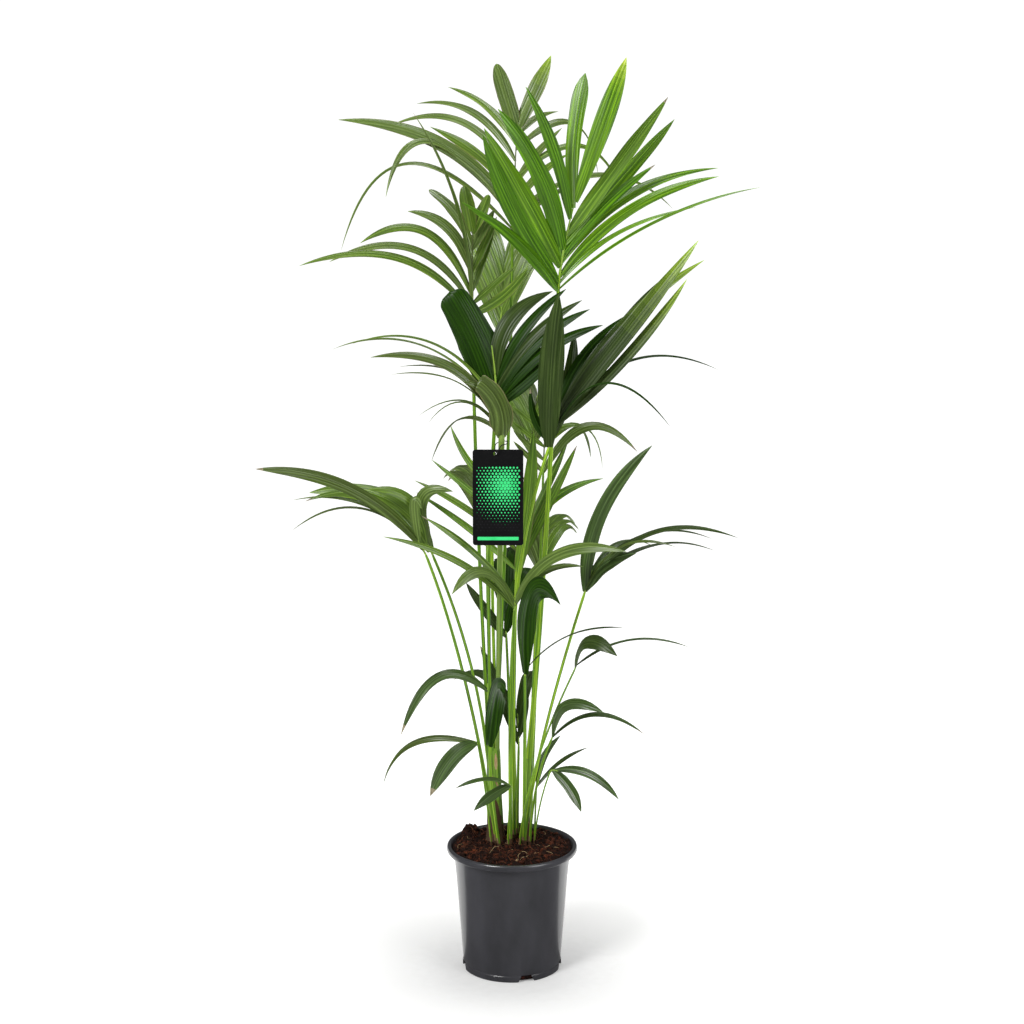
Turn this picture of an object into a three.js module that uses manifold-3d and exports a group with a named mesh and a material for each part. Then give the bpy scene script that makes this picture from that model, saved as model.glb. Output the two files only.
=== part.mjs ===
// A young kentia palm: a clump of slender stems and arching fronds in a round nursery pot.
// Millimetres, +Z up. The origin is the centre of the pot's flat underside, and -Y is the front.
//
// Each frond is two pieces: a stalk, from the soil or a stem up to its neck, and a blade, which is
// the midrib above the neck with its leaflets fused on. Neighbouring pieces stay GAP apart.

import * as THREE from 'three';
import { mergeVertices } from 'three/addons/utils/BufferGeometryUtils.js';
import Module from 'manifold-3d';

const wasm = await Module();
wasm.setup();

// ---------- driving dimensions ----------

const GAP = 0.3;

// Edges shorter than this are merged away where solids have been joined.
const SLIVER = 0.1;

const POT = {
  height: 230,
  rimRadius: 119,
  lipInnerRadius: 111,
  lipHeight: 12,
  bodyTopRadius: 105.5,
  stepHeight: 168,
  step: 1.2,
  bodyFootRadius: 88.8,
  footRadius: 90,
  footHeight: 10,
  wall: 1.8,
  floor: 2.2,
  segments: 32,
};

// Drainage notches through the foot: bearings in degrees from the front, counted to the right.
const NOTCH = { bearings: [17, 79, 150, 216, 282], width: 31, topWidth: 18, height: 12, depth: 12 };

const SOIL = { level: 222, edge: 6, crown: 4, ripple: 1.6, rings: 5 };
const CLOD = { x: -76, y: 72, height: 14, spread: 11 };

// Stems and stalks stand this deep in the soil.
const ROOT_Z = 210;

const TAG = { width: 87, height: 167, corner: 5, thickness: 1, x: -24, y: -84, top: 968, lean: -0.6 };
const TAG_HOLE = { x: -29, z: 961, radius: 3 };
const TIE = { radius: 0.8, sides: 5, steps: 24 };

const STALK_SIDES = 5;
const STALK_RINGS = 6;
const MIDRIB_SIDES = 4;
const MIDRIB_RINGS = 6;
const MIDRIB_TIP_RADIUS = 1.5;

// A leaflet has one ring for each stretch of this length, within these limits.
const LEAFLET_STRETCH = 55;
const LEAFLET_RINGS = [3, 4];

// A leaflet's ridge stands above its edges by this share of its width, and by a hundredth of its
// length at the least.
const RIDGE = 0.2;
const THINNEST = 0.012;
// Its base and its tip are these shares of its full width.
const BASE_WIDTH = 0.22;
const TIP_WIDTH = 0.1;

// Sheathed stems: foot and top centres, and their radii.
const STEMS = {
  stem_left: { foot: [-31, 25, ROOT_Z], top: [-34, 30, 403], radius: [12.5, 12] },
  stem_right: { foot: [24, 25, ROOT_Z], top: [31, 30, 382], radius: [7.5, 6.5] },
};

// A leaflet turns its upper face from the frond's facing toward straight up, by this share at its tip.
const TWIST = 0.35;

// A leaflet is [share of the midrib where it starts, reach of its tip from there, sideways offset
// of its middle in X and Z, width, roll, peak]. Roll is a turn toward straight up that its base has
// already, and peak is the share of its length where it is widest. A fan is a row of leaflets
// between its first and its last.
const leaflet = (...values) => [values];

function fan(count, first, last) {
  const mix = (a, b, t) => (Array.isArray(a) ? a.map((v, i) => mix(v, b[i], t)) : a + (b - a) * t);
  return Array.from({ length: count }, (_, i) => first.map((v, k) => mix(v, last[k], i / (count - 1))));
}

const FRONT = [0, -1, 0.7];
const BACK = [0, 1, 0.9];

// Fronds: the stalk's root, the points that bend it, its neck, the tip of the midrib, the stalk's
// radius at the root and at the neck, the way the blade's upper faces look, and the leaflets.
const FRONDS = {
  top_right: {
    root: [31, 30, 383], bends: [[66, 20, 810]], neck: [80, 20, 1222], tip: [119, 45, 1415],
    radius: [5.6, 3.6], facing: FRONT,
    leaflets: [
      leaflet(0.71, [-85, -60, 225], [10, 5], 19),
      fan(3, [0.45, [-115, -90, 240], [15, 10], 38], [0.12, [-130, -130, 225], [-10, -5], 34]),
      leaflet(0.05, [-165, -160, 165], [10, 10], 32),
      leaflet(0.80, [20, 20, 235], [-10, 0], 27, 0, 0.6),
      leaflet(0.85, [95, -20, 240], [0, 0], 30, 0, 0.6),
      fan(2, [0.58, [180, 75, 230], [0, 0], 24], [0.50, [195, 110, 200], [0, 0], 24]),
      fan(2, [0.33, [280, 130, 165], [-20, 35], 19], [0.19, [275, 75, 180], [-15, 30], 17]),
      leaflet(0.06, [340, -20, 180], [-15, 25], 17, 0.5),
    ],
  },
  top_back: {
    root: [-30, 38, 404], bends: [[-7, 75, 800]], neck: [0, 120, 1265], tip: [9, 150, 1511],
    radius: [3.6, 3.2], facing: FRONT,
    leaflets: [
      leaflet(0.97, [-30, -10, 105], [0, 0], 32, 0, 0.55),
      leaflet(0.97, [60, 10, 130], [0, 0], 28),
      fan(3, [0.88, [-125, 85, 100], [10, 15], 15], [0.68, [-230, 100, 85], [15, 55], 17]),
      leaflet(0.56, [-150, 15, 115], [10, 10], 21),
      leaflet(0.42, [-305, -75, 175], [25, 40], 34),
      leaflet(0.38, [-220, -110, 55], [-35, 115], 14),
      leaflet(0.30, [-295, 20, -30], [-35, 135], 14, 0.5),
      fan(4, [0.85, [150, 135, -55], [25, 75], 14], [0.42, [300, 105, 10], [10, 65], 13]),
      leaflet(0.93, [80, 110, 40], [-5, 10], 14),
    ],
  },
  upper_left: {
    root: [-41, 30, 404], bends: [[-62, 40, 750]], neck: [-70, 50, 1176], tip: [-68, 45, 1336],
    radius: [3.6, 3.4], facing: FRONT,
    leaflets: [
      leaflet(0.04, [-120, -60, 350], [28, 10], 12, 0.5),
      leaflet(0.97, [-15, 5, 75], [0, 0], 26),
      leaflet(0.95, [30, 25, 65], [0, 0], 21),
      leaflet(0.79, [-75, 35, 105], [10, 10], 18),
      leaflet(0.55, [-105, -25, 110], [15, 25], 21),
      fan(3, [0.31, [-190, -70, 90], [15, 65], 20], [0.08, [-285, -160, 95], [20, 55], 19]),
      fan(3, [0.80, [40, 35, 70], [0, 0], 16], [0.35, [45, 40, 115], [0, 0], 14]),
      fan(2, [0.20, [75, 50, 70], [0, 0], 14], [0.08, [95, 50, 75], [5, -10], 21]),
    ],
  },
  centre: {
    root: [-36, 20, 404], bends: [[-50, 10, 740]], neck: [-28, -40, 1030], tip: [-35, -45, 1142],
    radius: [3.6, 3.6], facing: FRONT,
    leaflets: [
      leaflet(0.40, [-58, 60, 100], [-30, 70], 48, 0, 0.45),
      leaflet(0.60, [100, 35, 135], [-25, 20], 31),
      fan(4, [0.50, [125, 10, 160], [-10, 10], 21], [0.15, [180, -35, 140], [-10, 20], 24]),
      leaflet(0.08, [110, -20, 95], [0, 0], 30),
    ],
  },
  tagged: {
    root: [-27, 24, 404.2], bends: [[-22, -20, 700]], neck: [-18, -70, 985], tip: [-32, -65, 1060],
    radius: [4.2, 6], facing: FRONT,
    leaflets: [
      leaflet(0.15, [-120, -100, 105], [45, 58], 44, 0.1, 0.3),
      leaflet(0.90, [-260, 85, 95], [15, 50], 16, 0.8),
      leaflet(0.82, [-280, 45, 80], [10, 55], 14, 1),
      leaflet(0.25, [-235, -30, 125], [25, 45], 20),
      leaflet(0.35, [-180, 0, 100], [25, 35], 15, 0.8),
      leaflet(0.20, [-180, -60, 100], [20, 35], 15, 0.8),
      leaflet(0.45, [-60, -40, 75], [15, 10], 27),
      leaflet(0.15, [-125, 70, -55], [-10, 50], 14, 0.6),
      fan(2, [0.20, [-145, 30, 20], [10, 40], 12, 0.8], [0.15, [-125, 10, 15], [0, 45], 12, 0.8]),
    ],
  },
  right: {
    root: [-2, 14, ROOT_Z], bends: [[-6, 12, 520], [-8, 5, 740]], neck: [62, -50, 960],
    tip: [72, -54, 1012],
    radius: [3.6, 3.2], facing: FRONT,
    leaflets: [
      leaflet(0.15, [15, -100, 280], [-5, 0], 42),
      leaflet(0.35, [-35, -10, 95], [-10, -5], 15),
      leaflet(0.45, [40, 50, 185], [10, 0], 25),
      leaflet(0.70, [155, 75, 210], [-25, 20], 20),
      leaflet(0.90, [235, -65, 325], [0, 0], 38),
      leaflet(0.95, [255, -5, 260], [-20, 20], 18),
      leaflet(0.60, [300, 90, 110], [-20, 70], 15, 0.9),
      leaflet(0.50, [195, -90, 40], [-10, 85], 15, 0.8),
    ],
  },
  middle: {
    root: [4, 26, ROOT_Z], bends: [[2, 30, 470]], neck: [7, 32, 691], tip: [37, 52, 946],
    radius: [3.4, 3], facing: FRONT,
    leaflets: [
      leaflet(0.10, [30, -10, 270], [5, 0], 26),
      leaflet(0.20, [115, 55, 210], [0, 0], 18),
      leaflet(0.35, [85, 85, 180], [0, 0], 15),
      leaflet(0.12, [165, 70, 180], [-30, 35], 18),
      leaflet(0.25, [50, 55, 110], [0, 0], 13),
      fan(2, [0.65, [-130, 75, 130], [-15, -15], 14], [0.48, [-160, 65, 120], [0, 0], 14]),
      fan(2, [0.33, [-185, 50, 115], [5, 10], 14], [0.18, [-170, -30, 150], [5, 5], 14]),
    ],
  },
  back_right: {
    root: [32, 48, ROOT_Z], bends: [[46, 60, 560]], neck: [56, 100, 886], tip: [60, 112, 985],
    radius: [3, 2.4], facing: FRONT,
    leaflets: [
      leaflet(0.12, [165, 20, 30], [-5, 65], 20),
      leaflet(0.80, [110, 40, -70], [20, 45], 14, 0.5),
      leaflet(0.60, [85, 65, -30], [15, 50], 14, 0.5),
      fan(4, [0.85, [-60, 20, 45], [0, 0], 11], [0.12, [-50, 20, 55], [0, 0], 11]),
      leaflet(0.95, [20, 120, 60], [0, 20], 16),
    ],
  },
  left_upper: {
    root: [-46, 24, 404.4], bends: [[-68, 0, 593]], neck: [-137, 2, 757], tip: [-150, -2, 795],
    radius: [3, 2.8], facing: FRONT,
    leaflets: [
      leaflet(0.45, [-205, 0, 105], [25, 40], 46, 0, 0.35),
      leaflet(0.40, [40, -35, 115], [-35, 40], 24),
      leaflet(0.70, [-105, -35, 105], [20, 30], 22),
    ],
  },
  left_lower: {
    root: [-25, 4, ROOT_Z], bends: [[-75, -2, 560]], neck: [-148, -22, 762], tip: [-165, -32, 798],
    radius: [3.4, 2.8], facing: FRONT,
    leaflets: [
      leaflet(0.60, [-265, -130, 160], [20, 35], 28, 0, 0.6),
      leaflet(0.35, [-230, -60, 50], [5, 60], 15, 0.8),
      leaflet(0.70, [-215, -20, 95], [10, 35], 14, 0.6),
      leaflet(0.80, [-190, -10, 75], [10, 45], 16),
      leaflet(0.90, [5, 0, 60], [-10, 40], 18),
    ],
  },
  front_left: {
    root: [-3, 2, ROOT_Z], bends: [[-2, -8, 480]], neck: [4, -34, 667], tip: [6, -42, 700],
    radius: [3, 2.6], facing: FRONT,
    leaflets: [
      leaflet(0.50, [-105, -95, 40], [0, 50], 25),
      leaflet(0.35, [-225, -90, 145], [15, 20], 15),
      leaflet(0.80, [-165, -35, 160], [10, 10], 14),
      leaflet(0.70, [195, -105, 120], [-20, 40], 28),
      leaflet(0.50, [120, -25, 80], [-10, 25], 14),
    ],
  },
  front_centre: {
    root: [22, 2, ROOT_Z], bends: [[23, -18, 400]], neck: [23, -30, 547], tip: [24, -36, 575],
    radius: [4, 3.2], facing: FRONT,
    leaflets: [
      leaflet(0.40, [60, -110, 155], [-18, 80], 44),
      leaflet(0.60, [170, -55, 85], [-10, 25], 14, 0.9),
    ],
  },
  lower_right: {
    root: [20, 14, ROOT_Z], bends: [[38, 0, 400]], neck: [125, -30, 695], tip: [140, -34, 745],
    radius: [3.2, 2.8], facing: FRONT,
    leaflets: [
      leaflet(0.25, [110, -40, 265], [-30, 12], 28),
      leaflet(0.40, [255, -30, 90], [-15, 55], 16, 0.3),
      fan(2, [0.70, [230, 75, 65], [-10, 45], 14, 0.7], [0.50, [225, 90, 50], [-5, 40], 14, 0.7]),
      leaflet(0.30, [150, -80, 95], [-15, 40], 15, 0.5),
      leaflet(0.80, [125, 115, 30], [-5, 35], 15, 0.5),
      leaflet(0.30, [85, -10, 65], [-12, 12], 28),
    ],
  },
  small_right: {
    root: [12, -8, ROOT_Z], bends: [[20, -34, 370]], neck: [109, -60, 570], tip: [112, -64, 588],
    radius: [2.2, 1.8], facing: FRONT,
    leaflets: [
      leaflet(0.50, [70, -90, 40], [-15, 35], 32),
      leaflet(0.60, [200, -30, 40], [-5, 30], 14, 0.8),
    ],
  },
  low_right: {
    root: [31, 2, ROOT_Z], bends: [[36, -10, 350]], neck: [69, -40, 436], tip: [74, -44, 456],
    radius: [2.6, 2.2], facing: FRONT,
    leaflets: [
      leaflet(0.50, [85, -80, 70], [-20, 35], 25),
      leaflet(0.40, [160, -50, 20], [-5, 40], 14, 0.5),
    ],
  },
  lowest_right: {
    root: [38, 8, ROOT_Z], bends: [[46, -10, 310]], neck: [68, -30, 375], tip: [82, -40, 380],
    radius: [1.6, 1.5], facing: FRONT,
    leaflets: [
      leaflet(0.50, [50, -55, -60], [5, 5], 19),
      leaflet(0.70, [115, -65, -35], [5, 20], 17),
    ],
  },
  seedling_right: {
    root: [40, 16, ROOT_Z], bends: [[42, 12, 280]], neck: [44, 5, 330], tip: [48, 5, 345],
    radius: [2, 1.6], facing: FRONT,
    leaflets: [
      leaflet(0.40, [95, 35, 60], [-5, 10], 10, 0.5),
      leaflet(0.60, [45, 25, 90], [-10, 5], 13),
    ],
  },
  low_left: {
    root: [-20, -12, ROOT_Z], bends: [[-36, -20, 310]], neck: [-41, -22, 420], tip: [-43, -34, 540],
    radius: [3, 2.8], facing: FRONT,
    leaflets: [
      leaflet(0.10, [24, -105, 125], [2, 50], 36, 0, 0.5),
      leaflet(0.90, [-150, -80, -60], [-10, 65], 20),
    ],
  },
  lowest_left: {
    root: [-36, -4, ROOT_Z], bends: [[-45, -6, 330]], neck: [-61, -8, 418], tip: [-68, -10, 426],
    radius: [2, 1.6], facing: FRONT,
    leaflets: [
      leaflet(0.50, [-170, 50, -85], [-30, 40], 16, 0.3),
      leaflet(0.60, [-85, -80, -70], [-3, 20], 31, 0, 0.45),
    ],
  },
  foot_left: {
    root: [-8, -8, ROOT_Z], bends: [[-6, -30, 290]], neck: [-2, -50, 352], tip: [-6, -54, 362],
    radius: [2.2, 1.8], facing: FRONT,
    leaflets: [
      leaflet(0.50, [-95, -70, 20], [5, 15], 13, 0.3),
      leaflet(0.60, [-60, -60, -25], [0, 5], 20),
    ],
  },
  back_low: {
    root: [10, 38, ROOT_Z], bends: [[10, 42, 300]], neck: [12, 56, 385], tip: [10, 84, 450],
    radius: [3, 2.6], facing: BACK,
    leaflets: [
      leaflet(0.25, [-70, 24, 180], [-5, 20], 20),
      leaflet(0.42, [16, 0, 110], [5, 0], 15),
      leaflet(0.66, [40, 150, 60], [0, 45], 24),
      leaflet(0.90, [-120, 90, 50], [0, 45], 22),
    ],
  },
  back_mid: {
    root: [-2, 42, ROOT_Z], bends: [[-2, 48, 430]], neck: [-10, 74, 590], tip: [-8, 104, 640],
    radius: [3, 2.6], facing: BACK,
    leaflets: [
      leaflet(0.15, [-75, -5, 105], [-5, 5], 26),
      leaflet(0.30, [14, 10, 70], [0, 0], 18),
      fan(3, [0.60, [-45, 170, 60], [0, 50], 24], [0.95, [20, 210, 60], [0, 50], 24]),
      leaflet(0.75, [54, 70, 70], [0, 40], 20),
    ],
  },
  back_tall: {
    root: [-16, 46, ROOT_Z], bends: [[-52, 100, 760]], neck: [-24, 205, 1120], tip: [-12, 320, 1240],
    radius: [3.6, 2.8], facing: BACK,
    leaflets: [
      fan(4, [0.95, [-35, 120, 90], [0, 20], 24], [0.12, [-80, 160, 150], [-10, 40], 22]),
      fan(4, [0.90, [40, 120, 80], [0, 20], 24], [0.15, [90, 170, 140], [10, 40], 22]),
    ],
  },
  back_upper: {
    root: [12, 52, ROOT_Z], bends: [[-14, 112, 620]], neck: [30, 200, 905], tip: [46, 310, 985],
    radius: [3.2, 2.6], facing: BACK,
    leaflets: [
      fan(4, [0.95, [-30, 130, 40], [0, 25], 24], [0.12, [-110, 150, 80], [-5, 45], 22]),
      fan(4, [0.90, [60, 120, 40], [0, 25], 24], [0.15, [130, 130, 80], [5, 45], 22]),
    ],
  },
  back_left: {
    root: [-24, 48, ROOT_Z], bends: [[-46, 84, 520]], neck: [-46, 165, 760], tip: [-52, 255, 835],
    radius: [3, 2.6], facing: BACK,
    leaflets: [
      fan(3, [0.90, [-60, 140, 30], [0, 35], 24], [0.15, [-60, 110, 60], [0, 45], 22]),
      fan(3, [0.95, [10, 150, 40], [0, 35], 24], [0.20, [60, 140, 50], [0, 45], 22]),
    ],
  },
  back_side: {
    root: [24, 58, ROOT_Z], bends: [[40, 96, 480]], neck: [46, 155, 680], tip: [56, 240, 745],
    radius: [3, 2.6], facing: BACK,
    leaflets: [
      fan(3, [0.85, [60, 140, 20], [0, 35], 24], [0.12, [50, 110, 50], [0, 40], 22]),
      fan(3, [0.96, [0, 150, 30], [0, 35], 24], [0.30, [-55, 140, 40], [0, 40], 22]),
    ],
  },
};

const COLOURS = {
  pot: 0x3f4043,
  soil: 0x2b1711,
  stalk: 0x86a83a,
  stem: 0x5b5326,
  tag: 0x111314,
  tie: 0x1c1c1c,
  frond: 0x3f7a24,
};

// ---------- closed bodies ----------

const UP = new THREE.Vector3(0, 0, 1);
const vector = (values) => new THREE.Vector3(...values);

function toSolid(geometry) {
  geometry.deleteAttribute('normal');
  geometry.deleteAttribute('uv');
  const merged = mergeVertices(geometry, 1e-4);
  const vertProperties = merged.attributes.position.array;
  const triVerts = Uint32Array.from(merged.index.array);
  return new wasm.Manifold(new wasm.Mesh({ numProp: 3, vertProperties, triVerts }));
}

// Crossing leaflets can seal a pocket between them: its inner walls are a body of negative volume.
function fillPockets(solid) {
  return solid.decompose().filter((body) => body.volume() > 0).reduce((whole, body) => whole.add(body));
}

function fromSolid(solid) {
  const mesh = solid.getMesh();
  const geometry = new THREE.BufferGeometry();
  geometry.setAttribute('position', new THREE.BufferAttribute(mesh.vertProperties, 3));
  geometry.setIndex(new THREE.BufferAttribute(mesh.triVerts, 1));
  geometry.computeVertexNormals();
  return geometry;
}

// A closed body along a curve: the rings of a unit cylinder are moved onto it. facing(t) is the way
// its face looks, and shape(t, u, v) gives the offsets across the body and out of its face, for a
// unit section point (u, v). stretch lengthens its foot.
function sweep(curve, facing, sides, rings, shape, stretch = 0) {
  const geometry = new THREE.CylinderGeometry(1, 1, 1, sides, rings);
  const position = geometry.attributes.position;
  for (let i = 0; i < position.count; i += 1) {
    const t = position.getY(i) + 0.5;
    const along = curve.getTangent(t);
    const face = facing(t);
    face.addScaledVector(along, -face.dot(along)).normalize();
    const side = along.clone().cross(face);
    const offset = shape(t, position.getX(i), position.getZ(i));
    const point = curve.getPoint(t);
    point.addScaledVector(side, offset.across);
    point.addScaledVector(face, offset.out);
    if (t < 0.001) point.addScaledVector(along, -stretch);
    position.setXYZ(i, point.x, point.y, point.z);
  }
  return toSolid(geometry);
}

// A round tapering limb. grow widens it and lengthens its foot, for the socket that it stands in.
function limb(curve, [startRadius, endRadius], sides, rings, grow = 0) {
  const shape = (t, u, v) => {
    const radius = startRadius + (endRadius - startRadius) * t + grow;
    return { across: radius * u, out: radius * v };
  };
  return sweep(curve, () => vector([0, -1, 0.1]), sides, rings, shape, grow);
}

// ---------- stalks and blades ----------

function stalkCurve({ root, bends, neck }) {
  const points = [root, ...bends, neck].map(vector);
  return bends.length === 1
    ? new THREE.QuadraticBezierCurve3(...points)
    : new THREE.CubicBezierCurve3(...points);
}

// The midrib leaves the neck in line with the stalk and bends to its tip.
function midribCurve(frond) {
  const heading = stalkCurve(frond).getTangent(1);
  const start = vector(frond.neck).addScaledVector(heading, GAP + 0.1);
  const tip = vector(frond.tip);
  const bend = start.clone().addScaledVector(heading, start.distanceTo(tip) * 0.4);
  return new THREE.QuadraticBezierCurve3(start, bend, tip);
}

// A leaflet's half width at a share t of its length: narrow at its base and drawn out to its tip.
function leafletOutline(t, peak) {
  const bulge = Math.sin(Math.PI * t ** (Math.log(0.5) / Math.log(peak)));
  const narrowest = THREE.MathUtils.lerp(BASE_WIDTH, TIP_WIDTH, t);
  return narrowest + (1 - narrowest) * Math.max(0, bulge) ** 0.85;
}

// The section is a ridge between two edges: a triangle whose top corner is on the upper face. The
// face is taken square to the leaflet's chord, so it can't flip over where the leaflet bends.
function makeLeaflet(start, facing, reach, [bowX, bowZ], width, roll = 0, peak = 0.4) {
  const tip = start.clone().add(vector(reach));
  const middle = start.clone().lerp(tip, 0.5).add(vector([2 * bowX, 0, 2 * bowZ]));
  const curve = new THREE.QuadraticBezierCurve3(start, middle, tip);
  const length = curve.getLength();
  const rings = THREE.MathUtils.clamp(Math.round(length / LEAFLET_STRETCH), ...LEAFLET_RINGS);
  const chord = vector(reach).normalize();
  const upperFace = (t) => {
    return facing.clone().lerp(UP, Math.min(1, roll + TWIST * t)).projectOnPlane(chord);
  };
  const ridge = Math.max(RIDGE * width, THINNEST * length);
  const cornerX = Math.sin(Math.PI / 3);
  const shape = (t, u, v) => {
    const outline = leafletOutline(t, peak);
    return { across: (u / cornerX) * 0.5 * width * outline, out: (v / 1.5) * ridge * outline };
  };
  return sweep(curve, upperFace, 3, rings, shape);
}

function makeBlade(frond) {
  const curve = midribCurve(frond);
  const facing = vector(frond.facing).normalize();
  let blade = limb(curve, [frond.radius[1], MIDRIB_TIP_RADIUS], MIDRIB_SIDES, MIDRIB_RINGS);
  for (const [share, ...values] of frond.leaflets.flat()) {
    blade = blade.add(makeLeaflet(curve.getPoint(share), facing, ...values));
  }
  return fillPockets(blade.simplify(SLIVER));
}

function makeStalk(frond, grow = 0) {
  return limb(stalkCurve(frond), frond.radius, STALK_SIDES, STALK_RINGS, grow);
}

function makeStem({ foot, top, radius }, grow = 0) {
  return limb(new THREE.LineCurve3(vector(foot), vector(top)), radius, 10, 3, grow);
}

// ---------- pot and soil ----------

function lathe(profile, segments) {
  const points = profile.map(([radius, height]) => new THREE.Vector2(radius, height));
  return new THREE.LatheGeometry(points, segments).rotateX(Math.PI / 2);
}

const wallRadius = (z) => POT.bodyFootRadius
  + ((POT.bodyTopRadius - POT.bodyFootRadius) * (z - POT.footHeight)) / (POT.height - POT.footHeight);

function makePot() {
  const { height, rimRadius, lipInnerRadius, lipHeight, stepHeight, step } = POT;
  const { footRadius, footHeight, wall, floor } = POT;
  const lipBottom = height - lipHeight;
  const lipRadius = wallRadius(lipBottom);
  const outside = [
    [0, 0],
    [footRadius, 0],
    [footRadius, footHeight],
    [wallRadius(footHeight), footHeight + 1],
    [wallRadius(stepHeight), stepHeight],
    [wallRadius(stepHeight) + step, stepHeight + 3],
    [lipRadius + step, lipBottom - 1],
  ];
  const lip = [
    [rimRadius - 2.5, lipBottom],
    [rimRadius, lipBottom + 5],
    [rimRadius - 3, height],
    [lipInnerRadius, height - 1],
    [lipInnerRadius - 2.5, height - 6],
  ];
  const inside = [
    [lipRadius + step - wall, lipBottom - 3],
    [wallRadius(stepHeight) - wall, stepHeight],
    [wallRadius(floor) - wall, floor],
    [0, floor],
  ];
  let pot = toSolid(lathe([...outside, ...lip, ...inside], POT.segments));
  for (const bearing of NOTCH.bearings) pot = pot.subtract(makeNotch(bearing));
  return pot;
}

// A trapezoid wedge that points out through the foot.
function makeNotch(bearing) {
  const outline = new THREE.Shape([
    new THREE.Vector2(-NOTCH.width / 2, -1),
    new THREE.Vector2(NOTCH.width / 2, -1),
    new THREE.Vector2(NOTCH.topWidth / 2, NOTCH.height),
    new THREE.Vector2(-NOTCH.topWidth / 2, NOTCH.height),
  ]);
  const wedge = new THREE.ExtrudeGeometry(outline, { depth: NOTCH.depth * 2, bevelEnabled: false });
  wedge.translate(0, 0, POT.footRadius - NOTCH.depth);
  wedge.rotateX(Math.PI / 2);
  wedge.rotateZ(THREE.MathUtils.degToRad(bearing));
  return toSolid(wedge);
}

function soilHeight(x, y) {
  const edge = POT.lipInnerRadius;
  const mound = SOIL.crown * (1 - (x * x + y * y) / (edge * edge));
  const swell = Math.sin(0.11 * x + 0.6) * Math.cos(0.13 * y);
  const chop = 0.6 * Math.sin(0.27 * x + 0.21 * y);
  const fromClod = ((x - CLOD.x) ** 2 + (y - CLOD.y) ** 2) / CLOD.spread ** 2;
  return SOIL.level + mound + SOIL.ripple * (swell + chop) + CLOD.height * Math.exp(-0.5 * fromClod);
}

function makeSoil() {
  const inner = (z) => wallRadius(z) - POT.wall - 2 * GAP;
  const profile = [
    [0, POT.floor + GAP],
    [inner(POT.footHeight) - 1, POT.floor + GAP],
    [inner(POT.footHeight), POT.footHeight],
    [inner(POT.stepHeight), POT.stepHeight],
    [inner(SOIL.level - SOIL.edge), SOIL.level - SOIL.edge],
  ];
  for (let ring = SOIL.rings; ring >= 0; ring -= 1) {
    profile.push([(inner(SOIL.level - SOIL.edge) * ring) / SOIL.rings, SOIL.level]);
  }
  const geometry = lathe(profile, POT.segments);
  const position = geometry.attributes.position;
  for (let i = 0; i < position.count; i += 1) {
    if (position.getZ(i) > SOIL.level - 1) position.setZ(i, soilHeight(position.getX(i), position.getY(i)));
  }
  let soil = toSolid(geometry);
  for (const stem of Object.values(STEMS)) soil = soil.subtract(makeStem(stem, GAP + 0.1));
  for (const frond of Object.values(FRONDS)) {
    if (frond.root[2] === ROOT_Z) soil = soil.subtract(makeStalk(frond, GAP + 0.1));
  }
  return soil.simplify(SLIVER);
}

// ---------- hang tag ----------

function makeTag() {
  const { width, height, corner, thickness, x, y, top, lean } = TAG;
  const card = new THREE.Shape();
  const left = -width / 2;
  card.moveTo(left + corner, -height);
  card.lineTo(-left - corner, -height);
  card.absarc(-left - corner, corner - height, corner, -Math.PI / 2, 0);
  card.absarc(-left - corner, -corner, corner, 0, Math.PI / 2);
  card.absarc(left + corner, -corner, corner, Math.PI / 2, Math.PI);
  card.absarc(left + corner, corner - height, corner, Math.PI, Math.PI * 1.5);
  const hole = new THREE.Path();
  hole.absarc(TAG_HOLE.x - x, TAG_HOLE.z - top, TAG_HOLE.radius, 0, Math.PI * 2, true);
  card.holes.push(hole);
  const options = { depth: thickness, bevelEnabled: false, curveSegments: 4 };
  const geometry = new THREE.ExtrudeGeometry(card, options);
  geometry.rotateX(Math.PI / 2 + THREE.MathUtils.degToRad(lean));
  geometry.translate(x, y, top);
  return toSolid(geometry);
}

// The tie goes round the stalk just below its neck, through the hole and back over the card.
function makeTie() {
  const route = [
    [-18, -58.5, 978], [-28, -66, 974], [-29, -80, 963], [-29, -88, 960.5],
    [-24, -90, 967], [-18, -86, 975], [-9, -79, 977], [-8.5, -66, 979],
  ];
  const curve = new THREE.CatmullRomCurve3(route.map(vector), true);
  return toSolid(new THREE.TubeGeometry(curve, TIE.steps, TIE.radius, TIE.sides, true));
}

// ---------- the plant ----------

const palm = new THREE.Group();

function addPiece(name, solid, colour, roughness) {
  const material = new THREE.MeshStandardMaterial({ color: colour, roughness, metalness: 0 });
  const mesh = new THREE.Mesh(fromSolid(solid), material);
  mesh.name = name;
  palm.add(mesh);
}

addPiece('pot', makePot(), COLOURS.pot, 0.45);
addPiece('soil', makeSoil(), COLOURS.soil, 0.95);
for (const [name, stem] of Object.entries(STEMS)) addPiece(name, makeStem(stem), COLOURS.stem, 0.8);
for (const [name, frond] of Object.entries(FRONDS)) {
  addPiece(`stalk_${name}`, makeStalk(frond), COLOURS.stalk, 0.5);
  addPiece(`frond_${name}`, makeBlade(frond), COLOURS.frond, 0.5);
}
addPiece('tag', makeTag(), COLOURS.tag, 0.4);
addPiece('tag_tie', makeTie(), COLOURS.tie, 0.6);

export default palm;
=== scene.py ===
"""Looks of a potted kentia palm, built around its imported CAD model.

Every frond grows by the rule of the CAD source: a stalk from the soil or a stem to its neck, a
midrib from there to its tip, and leaflets along the midrib. Here the leaflets are pleated blades
with fine tips, and the stalks have a channel, ribs and a sheath at the foot. Lengths are in
millimetres where nothing else is said. X is to the right, Y to the back and Z up.
"""

import math
from functools import cache
from types import SimpleNamespace as Values

import bmesh
import bpy
import numpy as np
from mathutils import Matrix, Vector, noise


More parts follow.
